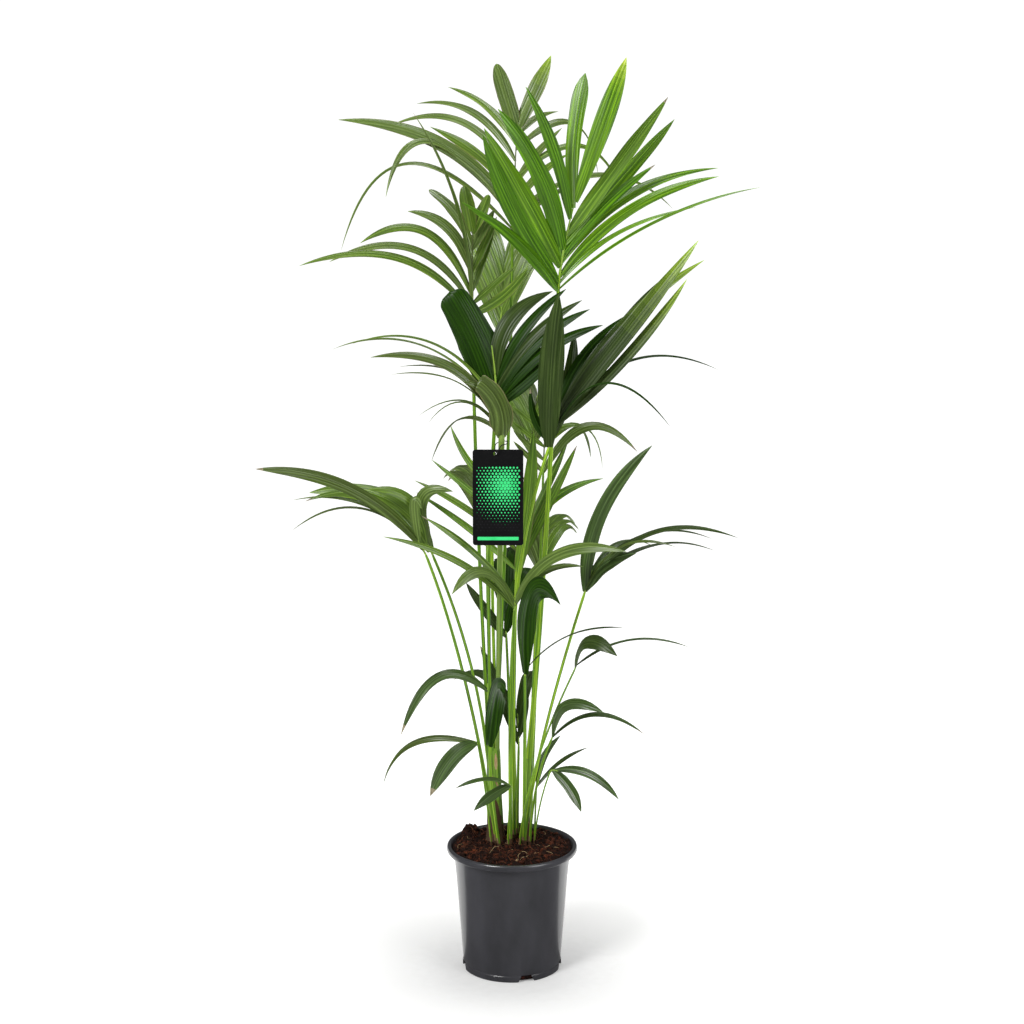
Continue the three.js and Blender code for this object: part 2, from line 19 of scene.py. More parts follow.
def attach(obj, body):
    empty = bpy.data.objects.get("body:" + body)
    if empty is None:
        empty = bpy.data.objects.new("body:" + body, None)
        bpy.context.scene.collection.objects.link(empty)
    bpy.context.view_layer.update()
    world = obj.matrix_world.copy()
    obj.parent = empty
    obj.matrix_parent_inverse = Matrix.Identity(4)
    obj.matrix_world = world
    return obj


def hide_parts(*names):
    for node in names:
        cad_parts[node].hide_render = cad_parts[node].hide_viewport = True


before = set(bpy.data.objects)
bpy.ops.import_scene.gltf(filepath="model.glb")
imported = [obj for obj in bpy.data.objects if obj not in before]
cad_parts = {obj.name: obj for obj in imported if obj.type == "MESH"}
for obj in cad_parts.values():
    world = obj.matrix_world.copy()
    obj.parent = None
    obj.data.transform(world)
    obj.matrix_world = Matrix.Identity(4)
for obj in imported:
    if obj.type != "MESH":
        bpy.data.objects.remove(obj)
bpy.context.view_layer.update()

MM = 0.001
UP = np.array([0.0, 0.0, 1.0])
rng = np.random.default_rng(26)

# ---------- driving dimensions ----------

# The pot, the tag and its tie are the CAD source's. The soil stands higher by its rise.
POT = Values(
    height=230, rim_radius=119, lip_inner_radius=111, lip_height=12, body_top_radius=105.5,
    step_height=168, step=1.2, body_foot_radius=88.8, foot_radius=90, foot_height=10,
    wall=1.8, floor=2.2, hollow_radius=70, hollow_height=0.8,
)
NOTCH = Values(bearings=(17, 79, 150, 216, 282), width=31, top_width=18, height=12, depth=12)
SOIL = Values(level=222, edge=6, crown=4, ripple=1.6, rise=3, gap=0.4)
CLOD = Values(x=-77, y=58, height=20, spread=11)
ROOT_Z = 210
TAG = Values(width=87, height=167, corner=5, thickness=1, x=-24, y=-84, top=968, lean=-0.6)
TAG_HOLE = Values(x=-29, z=961, radius=3)
TIE_ROUTE = [
    (-18, -58.5, 978), (-28, -66, 974), (-29, -80, 963), (-29, -88, 960.5),
    (-24, -90, 967), (-18, -86, 975), (-9, -79, 977), (-8.5, -66, 979),
]
TIE_RADIUS = 0.8

# A stem's wraps are how often a sheath's edge goes round it, and turn is where it starts. close is
# how far it narrows at its top. Heights are above its foot: its brown part, its node rings, and its
# splits as middle, half height, bearing in degrees and half width.
STEMS = {
    "stem_left": Values(
        foot=(-31, 25, ROOT_Z), top=(-34, 30, 403), radius=(12.5, 12), wraps=1.3, turn=0.1,
        close=0.12, brown=80, nodes=(42, 96), splits=[(168, 15, 18, 12)],
    ),
    "stem_right": Values(
        foot=(24, 25, ROOT_Z), top=(31, 30, 382), radius=(7.5, 6.5), wraps=1.6, turn=0.45,
        close=0.1, brown=58, nodes=(30, 128), splits=[],
    ),
}
SHEATH_STEP = 1.5
STEM_FLARE = Values(width=4.5, start=14, reach=14)
NODE_RING = Values(height=2.2, width=0.8)
STEM_RIBS = Values(depth=0.25, count=9)
# The grain's depth, the radius of its circle in the noise, and the length of one step of the noise.
STEM_GRAIN = Values(depth=0.45, around=6, along=60)
# The edge of the brown part goes up and down by a wave.
BROWN_WAVE = Values(height=16, count=3)
# The shares of a turn in which a sheath's edge rises and in which it is dry, and the share of the
# stem, at its top, in which it narrows.
EDGE_RISE = 0.06
EDGE_DRY = 0.035
CLOSING = 0.07

# A stalk's radius is a share of the CAD's, and its midrib's goes down to RIB_TIP. Stalks widen at the
# soil, and where they clasp a stem, by a share that fades within a height.
SLIMMER = 0.9
RIB_TIP = 0.9
FLARE = (0.12, 34)
CLASP = (0.25, 50)
# A clasping foot starts below the stalk's root, at a share of the way to it from the stem's axis and
# at a share of its radius.
CLASP_DROP = 95
CLASP_OUT = 0.45
CLASP_THIN = 0.35
# How high the brown, the dry husk and the brighter green reach on a stalk out of the soil.
FOOT = Values(brown=23.8, husk=34, green=88.4)
# A channel's depth and half width in radians, and the depth and number of the ribs. The depths are
# shares of the radius.
CHANNEL = Values(depth=0.22, width=0.55)
RIBS = Values(depth=0.035, count=5)

# The soil's clumps and grains: how high and how wide.
CLUMPS = Values(height=3.6, size=10)
GRAINS = Values(height=1.5, size=2.6)
# Loose crumbs and fibres lie within an edge. A crumb's size is the least and up to its spread more.
CRUMBS = Values(count=1700, on_clod=60, edge=103, least=0.9, spread=4.2)
CRUMB_SHARES = {"crumb_dark": 0.66, "crumb_rust": 0.335, "husk": 0.005}
FIBRES = Values(count=230, length=(7, 26), curl=1.2, radius=(0.16, 0.4))
FIBRE_SHARES = {"fibre_rust": 0.94, "fibre_straw": 0.06}
# Long pale strands: X, Y, heading in radians, length, curl and radius.
PALE_STRANDS = [
    (-45, -52, 0.7, 40, 0.5, 0.4), (33, -55, 2.4, 36, 2.6, 0.45), (48, -20, 0.3, 38, -0.6, 0.4),
    (6, -78, 0.1, 30, 0.6, 0.4), (-8, 62, 2.2, 40, -0.7, 0.4), (58, 44, 1.1, 34, 1.0, 0.4),
]

# The tag's print, in the card's own plane (its top edge is at 0). Dots shrink away from the focus,
# down to the least share of the largest, and beyond it they are small and grey. The grey dots, low on
# the card, paint a grey sheen.
DOTS = Values(
    rows=22, side=6, pitch=6.0, low=26, margin=7, focus=(12, -62), span=78, largest=3.1, least=0.12,
    grey=1.1,
)
BAR = Values(margin=8, low=9, high=15, corner=1.5)
INK = 0.12

# The stage, the lights and the camera, in metres and degrees. The camera looks along +Y and down.
# Shares of the round: of the wall that lights the plant, and of the floor that the pot reflects.
STAGE = Values(radius=9, drop=0.0006, wall_top=8, lit=0.64, shown=0.42)
WORLD_LIGHT = 0.12
BACKDROP_GLOW = 1.05
# The floor's glow grows from one strength to the other between two distances from its middle, so
# the floor is dimmer round the pot: painted shade round its foot.
PAINTED_SHADE_REACH = (0.13, 0.55)
FLOOR_GLOW = (0.18, 0.62)
LIGHTS = dict(
    key=Values(at=(-2.1, -2.6, 3.1), aim=0.9, size=1.5, power=112),
    fill=Values(at=(2.6, -2.4, 2.3), aim=0.9, size=2.2, power=52),
    top=Values(at=(0.3, 0.6, 3.9), aim=1.0, size=1.6, power=38),
)
CAMERA = Values(at=(0, -3.69, 1.56), down=11, lens=75.1, sensor=36)

# ---------- fronds ----------

# The ways the upper sides of leaflets face.
FRONT = (0, -1, 0.7)
RISING = (0, -0.5, 0.9)


def leaflet(share, reach, bow, width, roll=0, peak=0.4, blunt=0, tint=None):
    """A leaflet: the share of the midrib where it starts, the reach of its tip from there, the offset
    of its middle in X and Z, its width, its roll toward straight up, the share of its length where it
    is widest, the share that a round tip takes, and its tint where that isn't dealt."""
    return [(share, reach, bow, width, roll, peak, blunt, tint)]


def fan(count, first, last):
    """A row of leaflets, in even steps from its first to its last."""

    def mix(a, b, t):
        if isinstance(a, tuple):
            return tuple(mix(p, q, t) for p, q in zip(a, b))
        return a if a is None else a + (b - a) * t

    return [mix(leaflet(*first)[0], leaflet(*last)[0], i / (count - 1)) for i in range(count)]


FRONDS = {}


def add_frond(name, path, radius, tint, *leaflets, skin="stalk_shade", rib="rib_pale",
              facing=FRONT, dry_edged=False):
    """A frond: a stalk, the midrib that it goes over into, and the midrib's leaflets.

    path is its root, the bends of its stalk, its neck and its tip. radius is at the root and at the
    neck. tint names the spray that its leaflets' tints are dealt from.
    """
    FRONDS[name] = Values(
        path=path, radius=radius, tint=tint, leaflets=sum(leaflets, []), skin=skin, rib=rib,
        facing=facing, dry_edged=dry_edged,
    )


add_frond(
    "top_right", [(31, 30, 383), (66, 20, 810), (80, 20, 1222), (119, 45, 1415)],
    (5.6, 3.6), "bright",
    leaflet(0.71, (-85, -60, 225), (10, 5), 23, tint="rich"),
    leaflet(0.45, (-115, -90, 240), (15, 10), 38, tint="rich"),
    leaflet(0.29, (-126, -112, 232), (2, 2), 40, peak=0.45, tint="bright"),
    leaflet(0.12, (-128, -130, 258), (-10, -5), 40, peak=0.45, tint="rich"),
    leaflet(0.05, (-165, -160, 165), (10, 10), 36, tint="rich"),
    leaflet(0.34, (-60, -10, 185), (8, 5), 20, tint="rich"),
    leaflet(0.80, (20, 20, 235), (-10, 0), 28, peak=0.75, tint="bright"),
    leaflet(0.85, (95, -20, 240), (0, 0), 34, peak=0.6, tint="yellowing"),
    fan(2, (0.58, (180, 75, 230), (0, 0), 28), (0.50, (195, 110, 200), (0, 0), 28)),
    leaflet(0.40, (165, 60, 150), (-6, 8), 20),
    fan(2, (0.33, (280, 130, 165), (-20, 35), 22), (0.19, (275, 75, 180), (-15, 30), 22)),
    leaflet(0.12, (235, 20, 120), (-20, 20), 16, roll=0.4),
    leaflet(0.06, (340, -20, 180), (-15, 25), 17, roll=0.5),
    skin="stalk_lit",
)
add_frond(
    "top_back", [(-30, 38, 404), (-7, 75, 800), (0, 120, 1265), (9, 150, 1511)],
    (3.6, 3.2), "sage",
    leaflet(0.97, (-30, -10, 112), (0, 0), 34, peak=0.55, blunt=0.22, tint="sage"),
    leaflet(0.97, (60, 10, 130), (0, 0), 29, peak=0.5, tint="paling"),
    fan(3, (0.88, (-125, 85, 100), (10, 15), 15), (0.68, (-230, 100, 85), (15, 55), 17)),
    leaflet(0.56, (-150, 15, 115), (10, 10), 21),
    leaflet(0.42, (-305, -75, 175), (25, 40), 34),
    leaflet(0.38, (-220, -110, 55), (-35, 115), 14),
    leaflet(0.30, (-295, 20, -30), (-35, 135), 14, roll=0.5),
    leaflet(0.85, (150, 135, -55), (25, 75), 14),
    leaflet(0.66, (205, 110, -48), (22, 84), 13),
    leaflet(0.42, (300, 105, 10), (10, 65), 13),
    leaflet(0.62, (84, 46, 96), (-4, 4), 15),
    leaflet(0.48, (98, 40, 84), (-4, 8), 16),
    leaflet(0.34, (110, 52, 66), (-4, 8), 16),
    leaflet(0.93, (80, 110, 40), (-5, 10), 14),
    rib="rib_dark", dry_edged=True,
)
add_frond(
    "upper_left", [(-41, 30, 404), (-62, 40, 750), (-70, 50, 1176), (-68, 45, 1336)],
    (3.6, 3.4), "mid",
    leaflet(0.04, (-120, -60, 350), (28, 10), 12, roll=0.5),
    leaflet(0.97, (-15, 5, 80), (0, 0), 27, peak=0.6, blunt=0.25),
    leaflet(0.95, (30, 25, 65), (0, 0), 21, peak=0.6, blunt=0.2),
    leaflet(0.79, (-75, 35, 105), (10, 10), 20, peak=0.6, blunt=0.15),
    leaflet(0.55, (-105, -25, 110), (15, 25), 21),
    fan(3, (0.31, (-190, -70, 90), (15, 65), 20), (0.08, (-285, -160, 95), (20, 55), 19)),
    fan(3, (0.80, (40, 35, 70), (0, 0), 16), (0.35, (45, 40, 115), (0, 0), 14)),
    fan(2, (0.20, (75, 50, 70), (0, 0), 14), (0.08, (95, 50, 75), (5, -10), 21)),
    rib="rib_dark", dry_edged=True,
)
add_frond(
    "centre", [(-36, 20, 404), (-50, 10, 740), (-28, -40, 1030), (-35, -45, 1142)],
    (3.6, 3.6), "deep",
    leaflet(0.30, (-82, 10, 178), (6, 5), 73, peak=0.5, blunt=0.1),
    leaflet(0.60, (100, 35, 135), (-25, 20), 31),
    fan(4, (0.50, (125, 10, 160), (-10, 10), 21), (0.15, (180, -35, 140), (-10, 20), 24)),
    leaflet(0.08, (110, -20, 95), (0, 0), 30),
)
add_frond(
    "tagged", [(-27, 24, 404.2), (-22, -20, 700), (-18, -70, 985), (-32, -65, 1060)],
    (4.2, 6), "olive",
    leaflet(0.0, (-38, -40, 102), (14, 8), 47, blunt=0.06, tint="olive"),
    leaflet(0.90, (-260, 85, 95), (15, 50), 16, roll=0.8),
    leaflet(0.82, (-280, 45, 80), (10, 55), 14, roll=1),
    leaflet(0.25, (-235, -30, 125), (25, 45), 20),
    leaflet(0.35, (-180, 0, 100), (25, 35), 15, roll=0.8),
    leaflet(0.20, (-180, -60, 100), (20, 35), 15, roll=0.8),
    leaflet(0.45, (-60, -40, 75), (15, 10), 27),
    leaflet(0.15, (-125, 70, -55), (-10, 50), 14, roll=0.6),
    fan(2, (0.20, (-145, 30, 20), (10, 40), 12, 0.8), (0.15, (-125, 10, 15), (0, 45), 12, 0.8)),
    skin="stalk_scurfy", dry_edged=True,
)
add_frond(
    "right", [(-2, 14, ROOT_Z), (-6, 12, 520), (-8, 5, 740), (62, -50, 960), (72, -54, 1012)],
    (3.6, 3.2), "dark",
    leaflet(0.15, (15, -100, 280), (-5, 0), 42, peak=0.42, tint="dark"),
    leaflet(0.35, (-35, -10, 95), (-10, -5), 15),
    leaflet(0.45, (40, 50, 185), (10, 0), 25),
    leaflet(0.70, (155, 75, 210), (-25, 20), 20),
    leaflet(0.90, (235, -65, 325), (0, 0), 32, peak=0.5, tint="ripening"),
    leaflet(0.80, (203, 20, 262), (-8, 8), 24, peak=0.5),
    leaflet(0.85, (226, -38, 262), (10, -8), 20, peak=0.5, tint="ripening"),
    leaflet(0.95, (257, 12, 260), (-20, 20), 20, peak=0.5, tint="ripening"),
    leaflet(0.60, (300, 90, 110), (-20, 70), 15, roll=0.9),
    leaflet(0.50, (195, -90, 40), (-10, 85), 15, roll=0.8),
    skin="stalk_lit",
)
add_frond(
    "middle", [(4, 26, ROOT_Z), (2, 30, 470), (7, 32, 691), (37, 52, 946)],
    (3.4, 3), "light",
    leaflet(0.10, (30, -10, 270), (5, 0), 26),
    leaflet(0.20, (115, 55, 210), (0, 0), 18),
    leaflet(0.35, (85, 85, 180), (0, 0), 15),
    leaflet(0.12, (165, 70, 180), (-30, 35), 18),
    leaflet(0.25, (50, 55, 110), (0, 0), 13),
    fan(2, (0.65, (-130, 75, 130), (-15, -15), 14), (0.48, (-160, 65, 120), (0, 0), 14)),
    fan(2, (0.33, (-185, 50, 115), (5, 10), 14), (0.18, (-170, -30, 150), (5, 5), 14)),
    skin="stalk_lit", dry_edged=True,
)
add_frond(
    "back_right", [(32, 48, ROOT_Z), (46, 60, 560), (56, 100, 886), (60, 112, 985)],
    (3, 2.4), "sage",
    leaflet(0.12, (165, 20, 30), (-5, 65), 20),
    leaflet(0.80, (110, 40, -70), (20, 45), 14, roll=0.5),
    leaflet(0.60, (85, 65, -30), (15, 50), 14, roll=0.5),
    fan(4, (0.85, (-60, 20, 45), (0, 0), 11), (0.12, (-50, 20, 55), (0, 0), 11)),
    leaflet(0.95, (20, 120, 60), (0, 20), 16),
    rib="rib_dark",
)
add_frond(
    "left_upper", [(-46, 24, 404.4), (-68, 0, 593), (-137, 2, 757), (-150, -2, 795)],
    (3, 2.8), "sage",
    leaflet(0.45, (-205, 0, 105), (25, 40), 46, peak=0.35),
    leaflet(0.40, (40, -35, 115), (-35, 40), 24),
    leaflet(0.70, (-105, -35, 105), (20, 30), 22),
)
add_frond(
    "left_lower", [(-25, 4, ROOT_Z), (-75, -2, 560), (-148, -22, 762), (-165, -32, 798)],
    (3.4, 2.8), "olive",
    leaflet(0.60, (-265, -130, 160), (20, 35), 28, peak=0.6),
    leaflet(0.35, (-230, -60, 50), (5, 60), 15, roll=0.8),
    leaflet(0.70, (-215, -20, 95), (10, 35), 14, roll=0.6),
    leaflet(0.80, (-190, -10, 75), (10, 45), 16),
    leaflet(0.90, (5, 0, 60), (-10, 40), 18),
)
add_frond(
    "front_left", [(-3, 2, ROOT_Z), (-2, -8, 480), (4, -34, 667), (6, -42, 700)],
    (3, 2.6), "mid",
    leaflet(0.50, (-105, -95, 40), (0, 50), 25),
    leaflet(0.35, (-225, -90, 145), (15, 20), 15),
    leaflet(0.80, (-165, -35, 160), (10, 10), 14),
    leaflet(0.70, (195, -105, 120), (-20, 40), 28),
    leaflet(0.50, (120, -25, 80), (-10, 25), 14),
)
add_frond(
    "front_centre", [(22, 2, ROOT_Z), (23, -18, 400), (23, -30, 547), (24, -36, 575)],
    (4, 3.2), "dark",
    leaflet(0.40, (60, -110, 155), (-18, 80), 44),
    leaflet(0.60, (170, -55, 85), (-10, 25), 14, roll=0.9),
)
add_frond(
    "lower_right", [(20, 14, ROOT_Z), (38, 0, 400), (125, -30, 695), (140, -34, 745)],
    (3.2, 2.8), "grey",
    leaflet(0.25, (110, -40, 265), (-30, 12), 28),
    leaflet(0.40, (255, -30, 90), (-15, 55), 16, roll=0.3),
    fan(2, (0.70, (230, 75, 65), (-10, 45), 14, 0.7), (0.50, (225, 90, 50), (-5, 40), 14, 0.7)),
    leaflet(0.30, (150, -80, 95), (-15, 40), 15, roll=0.5),
    leaflet(0.80, (125, 115, 30), (-5, 35), 15, roll=0.5),
    leaflet(0.30, (85, -10, 65), (-12, 12), 28),
    skin="stalk_lit",
)
add_frond(
    "small_right", [(12, -8, ROOT_Z), (20, -34, 370), (109, -60, 570), (112, -64, 588)],
    (2.2, 1.8), "grey",
    leaflet(0.50, (70, -90, 40), (-15, 35), 32),
    leaflet(0.60, (200, -30, 40), (-5, 30), 14, roll=0.8),
)
add_frond(
    "low_right", [(31, 2, ROOT_Z), (36, -10, 350), (69, -40, 436), (74, -44, 456)],
    (2.6, 2.2), "grey",
    leaflet(0.50, (85, -80, 70), (-20, 35), 25),
    leaflet(0.40, (160, -50, 20), (-5, 40), 14, roll=0.5),
)
add_frond(
    "lowest_right", [(38, 8, ROOT_Z), (46, -10, 310), (68, -30, 375), (82, -40, 380)],
    (1.6, 1.5), "grey",
    leaflet(0.50, (50, -55, -60), (5, 5), 19),
    leaflet(0.70, (115, -65, -35), (5, 20), 17),
)
add_frond(
    "seedling_right", [(40, 16, ROOT_Z), (42, 12, 280), (44, 5, 330), (48, 5, 345)],
    (2, 1.6), "grey",
    leaflet(0.40, (95, 35, 60), (-5, 10), 10, roll=0.5),
    leaflet(0.60, (45, 25, 90), (-10, 5), 13),
)
add_frond(
    "low_left", [(-20, -12, ROOT_Z), (-36, -20, 310), (-41, -22, 420), (-43, -34, 540)],
    (3, 2.8), "grey",
    leaflet(0.0, (24, -105, 120), (2, 46), 44, peak=0.6, blunt=0.1, tint="deep"),
    leaflet(0.90, (-150, -80, -60), (-10, 65), 20),
)
add_frond(
    "lowest_left", [(-36, -4, ROOT_Z), (-45, -6, 330), (-61, -8, 418), (-68, -10, 426)],
    (2, 1.6), "grey",
    leaflet(0.50, (-170, 50, -85), (-30, 40), 16, roll=0.3),
    leaflet(0.60, (-85, -80, -70), (-3, 20), 31, peak=0.45),
)
add_frond(
    "foot_left", [(-8, -8, ROOT_Z), (-6, -30, 290), (-2, -50, 352), (-6, -54, 362)],
    (2.2, 1.8), "grey",
    leaflet(0.50, (-95, -70, 20), (5, 15), 13, roll=0.3),
    leaflet(0.60, (-60, -60, -25), (0, 5), 20),
)
add_frond(
    "back_low", [(10, 38, ROOT_Z), (10, 42, 300), (12, 56, 385), (10, 84, 450)],
    (3, 2.6), "dark",
    leaflet(0.25, (-70, 24, 180), (-5, 20), 20),
    leaflet(0.42, (16, 0, 110), (5, 0), 15),
    leaflet(0.66, (40, 150, 60), (0, 45), 24),
    leaflet(0.90, (-120, 90, 50), (0, 45), 22),
    facing=RISING,
)
add_frond(
    "back_mid", [(-2, 42, ROOT_Z), (-2, 48, 430), (-10, 74, 590), (-8, 104, 640)],
    (3, 2.6), "deep",
    leaflet(0.15, (-75, -5, 105), (-5, 5), 26),
    leaflet(0.30, (14, 10, 70), (0, 0), 18),
    fan(6, (0.60, (-45, 170, 60), (0, 50), 24), (0.95, (20, 210, 60), (0, 50), 24)),
    leaflet(0.75, (54, 70, 70), (0, 40), 20),
    facing=RISING,
)
add_frond(
    "back_tall", [(-16, 46, ROOT_Z), (-52, 100, 760), (-24, 205, 1120), (-12, 320, 1240)],
    (3.6, 2.8), "mid",
    fan(8, (0.95, (-35, 120, 90), (0, 20), 24), (0.12, (-80, 160, 150), (-10, 40), 22)),
    fan(8, (0.90, (40, 120, 80), (0, 20), 24), (0.15, (90, 170, 140), (10, 40), 22)),
    skin="stalk_lit", facing=RISING,
)
add_frond(
    "back_upper", [(12, 52, ROOT_Z), (-14, 112, 620), (30, 200, 905), (46, 310, 985)],
    (3.2, 2.6), "olive",
    fan(8, (0.95, (-30, 130, 40), (0, 25), 24), (0.12, (-110, 150, 80), (-5, 45), 22)),
    fan(8, (0.90, (60, 120, 40), (0, 25), 24), (0.15, (130, 130, 80), (5, 45), 22)),
    facing=RISING,
)
add_frond(
    "back_left", [(-24, 48, ROOT_Z), (-46, 84, 520), (-46, 165, 760), (-52, 255, 835)],
    (3, 2.6), "olive",
    fan(5, (0.90, (-72, 130, 10), (0, 35), 24), (0.15, (-85, 100, 75), (-5, 45), 22)),
    fan(5, (0.95, (25, 145, 30), (0, 35), 24), (0.20, (75, 130, 60), (5, 45), 22)),
    facing=RISING,
)
add_frond(
    "back_side", [(24, 58, ROOT_Z), (40, 96, 480), (46, 155, 680), (56, 240, 745)],
    (3, 2.6), "sage",
    fan(5, (0.85, (75, 130, 5), (0, 35), 24), (0.12, (70, 100, 65), (5, 40), 22)),
    fan(5, (0.96, (-10, 145, 20), (0, 35), 24), (0.30, (-70, 125, 50), (-5, 40), 22)),
    skin="stalk_lit", facing=RISING,
)

# ---------- tints ----------

# A frond's leaflets are dealt these tints.
SPRAY = {
    "bright": ("bright", "bright", "rich", "light"),
    "light": ("light", "light", "mid", "bright"),
    "mid": ("mid", "mid", "sage"),
    "sage": ("sage", "sage", "mid", "olive"),
    "olive": ("olive", "olive", "sage", "mid"),
    "deep": ("deep", "deep", "deep", "dark"),
    "dark": ("dark", "dark", "deep"),
    "grey": ("grey", "grey", "dark", "olive"),
}
# These change along the leaflet in steps, the first of them long: the first tint, the last, and the
# share where the change starts.
CHANGING = {
    "yellowing": ("bright", "lime", 0.74),
    "ripening": ("dark", "fresh", 0.4),
    "paling": ("sage", "fresh", 0.5),
}
CHANGE_STEPS = 9
CHANGE_EASE = 1.5

# Each leaf tint: the two greens of its upper side, and the two of its underside. The paler green of
# each is partly the leaf's own and partly a painted highlight, and the underside's greyer greens are
# partly its own and partly a painted sheen. bright's greens also paint light shining through the
# leaflets, and sage's paler green the light that its leaflets' tops catch.
LEAF_COLOURS = {
    "bright": ("3e6a00", "84b81c", "50800e", "8fbe36"),
    "rich": ("305a00", "6da80c", "447204", "7eb024"),
    "fresh": ("7ea323", "b5d442", "8db435", "bedc59"),
    "lime": ("abca35", "d6e656", "bcd450", "e1ee72"),
    "light": ("4c7414", "80a831", "61872c", "8db252"),
    "mid": ("4a6a1c", "82a23a", "617a35", "8ba45d"),
    "sage": ("4c6623", "829b4c", "6d7b4a", "9bae75"),
    "olive": ("3f5016", "677e38", "5a6e39", "84975f"),
    "deep": ("163104", "30540c", "253f0d", "3c5c1f"),
    "dark": ("293d0f", "475a29", "41502a", "5e6e41"),
    "grey": ("324718", "5a763c", "506439", "798f5d"),
}
LEAF_ROUGHNESS = {"top": 0.32, "under": 0.48}
LEAF_GLOSS = {"deep": 0.15, "dark": 0.25}
USUAL_GLOSS = 0.5
# How far the vein lines are darkened: partly the veins' own tone, partly painted shade of the pleats.
VEIN_SHADE = 0.26
MIDVEIN = 0.35

# ---------- curves ----------

# The gap between stalk and midrib, and the share of the midrib after which it bends.
NECK_GAP = 0.4
MIDRIB_BEND = 0.4


def unit(v):
    return v / np.maximum(np.linalg.norm(v, axis=-1, keepdims=True), 1e-9)


def turns(count, start=0.0):
    """Angles of one turn in even steps."""
    return np.linspace(start, start + 2 * np.pi, count, endpoint=False)


def bezier(points, t):
    """Points of a Bezier curve at the shares t."""
    rows = [np.broadcast_to(np.asarray(p, float), (len(t), 3)) for p in points]
    while len(rows) > 1:
        rows = [a + (b - a) * t[:, None] for a, b in zip(rows, rows[1:])]
    return rows[0]


def midrib_points(path):
    """The midrib leaves the neck in line with the stalk and bends to its tip."""
    last, neck, tip = np.asarray(path[-3:], float)
    heading = unit(neck - last)
    start = neck + heading * NECK_GAP
    return [start, start + heading * MIDRIB_BEND * np.linalg.norm(tip - start), tip]


def run_length(points):
    """How far along its path each point is."""
    return np.concatenate([[0], np.cumsum(np.linalg.norm(np.diff(points, axis=0), axis=1))])


def frames(points, face):
    """The side and the face at each point of a path; face is the way its front should look."""
    along = unit(np.gradient(points, axis=0))
    face = unit(face - along * np.sum(face * along, axis=1, keepdims=True))
    return np.cross(along, face), face


def round_rings(points, side, face, angle, radius):
    """Rings round the points of a path. An angle is counted from the face to the side."""
    rings = points[:, None] + (radius * np.sin(angle))[..., None] * side[:, None]
    return rings + (radius * np.cos(angle))[..., None] * face[:, None]


# ---------- joined meshes ----------


class Piece:
    """Gathers tubes of points into one mesh, with a material slot and a UV for every corner."""

    def __init__(self, name, materials):
        self.name = name
        self.materials = materials
        self.points, self.corners, self.totals, self.slots, self.uvs = [], [], [], [], []
        self.count = 0

    def tube(self, rings, slots, across, along, caps=True):
        """A tube through rings (rows, loop, 3). Slots are names of materials, one for all faces or
        one for each, and across and along are its UV, in centimetres."""
        rows, loop = rings.shape[:2]
        grid = np.arange(rows * loop).reshape(rows, loop) + self.count
        uv = np.stack([np.broadcast_to(part, (rows, loop)) for part in (across, along)], -1)
        slots = np.broadcast_to(np.array(slots, object), (rows - 1, loop))
        self.points.append(rings.reshape(-1, 3))
        self.count += rows * loop
        self.add_faces(self.quads(grid), 4, slots, self.quads(uv))
        if caps:
            for row, order in ((0, -1), (-1, 1)):
                self.add_faces(grid[row][::order], loop, slots[row, :1], uv[row][::order])

    @staticmethod
    def quads(values):
        """The values at the corners of each face between neighbours in a grid closed sideways."""
        right = np.roll(values, -1, axis=1)
        return np.stack([values[:-1], right[:-1], right[1:], values[1:]], axis=2)

    def add_faces(self, corners, size, slots, uv):
        self.corners.append(corners.reshape(-1))
        self.totals.append(np.full(corners.size // size, size))
        self.slots.append(slots.reshape(-1))
        self.uvs.append(uv.reshape(-1, 2))

    def build(self, crease):
        mesh = bpy.data.meshes.new(self.name)
        for name in self.materials:
            mesh.materials.append(material(name))
        parts = (self.points, self.corners, self.totals, self.slots, self.uvs)
        points, corners, totals, slots, uvs = (np.concatenate(part) for part in parts)
        names, where = np.unique(slots.astype(str), return_inverse=True)
        index = np.array([self.materials.index(name) for name in names])[where]
        mesh.vertices.add(len(points))
        mesh.loops.add(len(corners))
        mesh.polygons.add(len(totals))
        mesh.vertices.foreach_set("co", (points * MM).astype(np.float32).ravel())
        mesh.loops.foreach_set("vertex_index", corners.astype(np.int32))
        mesh.polygons.foreach_set("loop_start", (np.cumsum(totals) - totals).astype(np.int32))
        mesh.polygons.foreach_set("material_index", index.astype(np.int32))
        mesh.update(calc_edges=True)
        layer = mesh.uv_layers.new(name="blade")
        layer.data.foreach_set("uv", uvs.astype(np.float32).ravel())
        mesh.validate()
        return finish_mesh(mesh, crease)


def link(name, data):
    """A new object of the scene."""
    made = bpy.data.objects.new(name, data)
    bpy.context.scene.collection.objects.link(made)
    return made


def finish_mesh(mesh, crease):
    """An object around a mesh, smooth apart from the edges sharper than crease degrees."""
    mesh.shade_smooth()
    mesh.set_sharp_from_angle(angle=math.radians(crease))
    return link(mesh.name, mesh)


def evaluated(made):
    """The mesh of an object with its modifiers or its curve's form applied."""
    bpy.context.view_layer.update()
    seen = made.evaluated_get(bpy.context.evaluated_depsgraph_get())
    return bpy.data.meshes.new_from_object(seen)


def place(piece, slot, *nodes):
    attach(piece, "root")
    if nodes:
        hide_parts(*nodes)


# ---------- materials ----------


def linear(code):
    """A hex colour as linear red, green, blue and alpha."""
    parts = [int(code[i:i + 2], 16) / 255 for i in (0, 2, 4)]
    return tuple(p / 12.92 if p <= 0.04045 else ((p + 0.055) / 1.055) ** 2.4 for p in parts) + (1.0,)


def mixed(first, last, share):
    """A colour between two hex colours, by even steps to the eye."""
    pairs = zip(linear(first), linear(last))
    return tuple((a ** 0.5 * (1 - share) + b ** 0.5 * share) ** 2 for a, b in pairs)


def scaled(colour, times, lift=0.0):
    return tuple(min(times * c + lift, 1) for c in colour[:3]) + (1.0,)


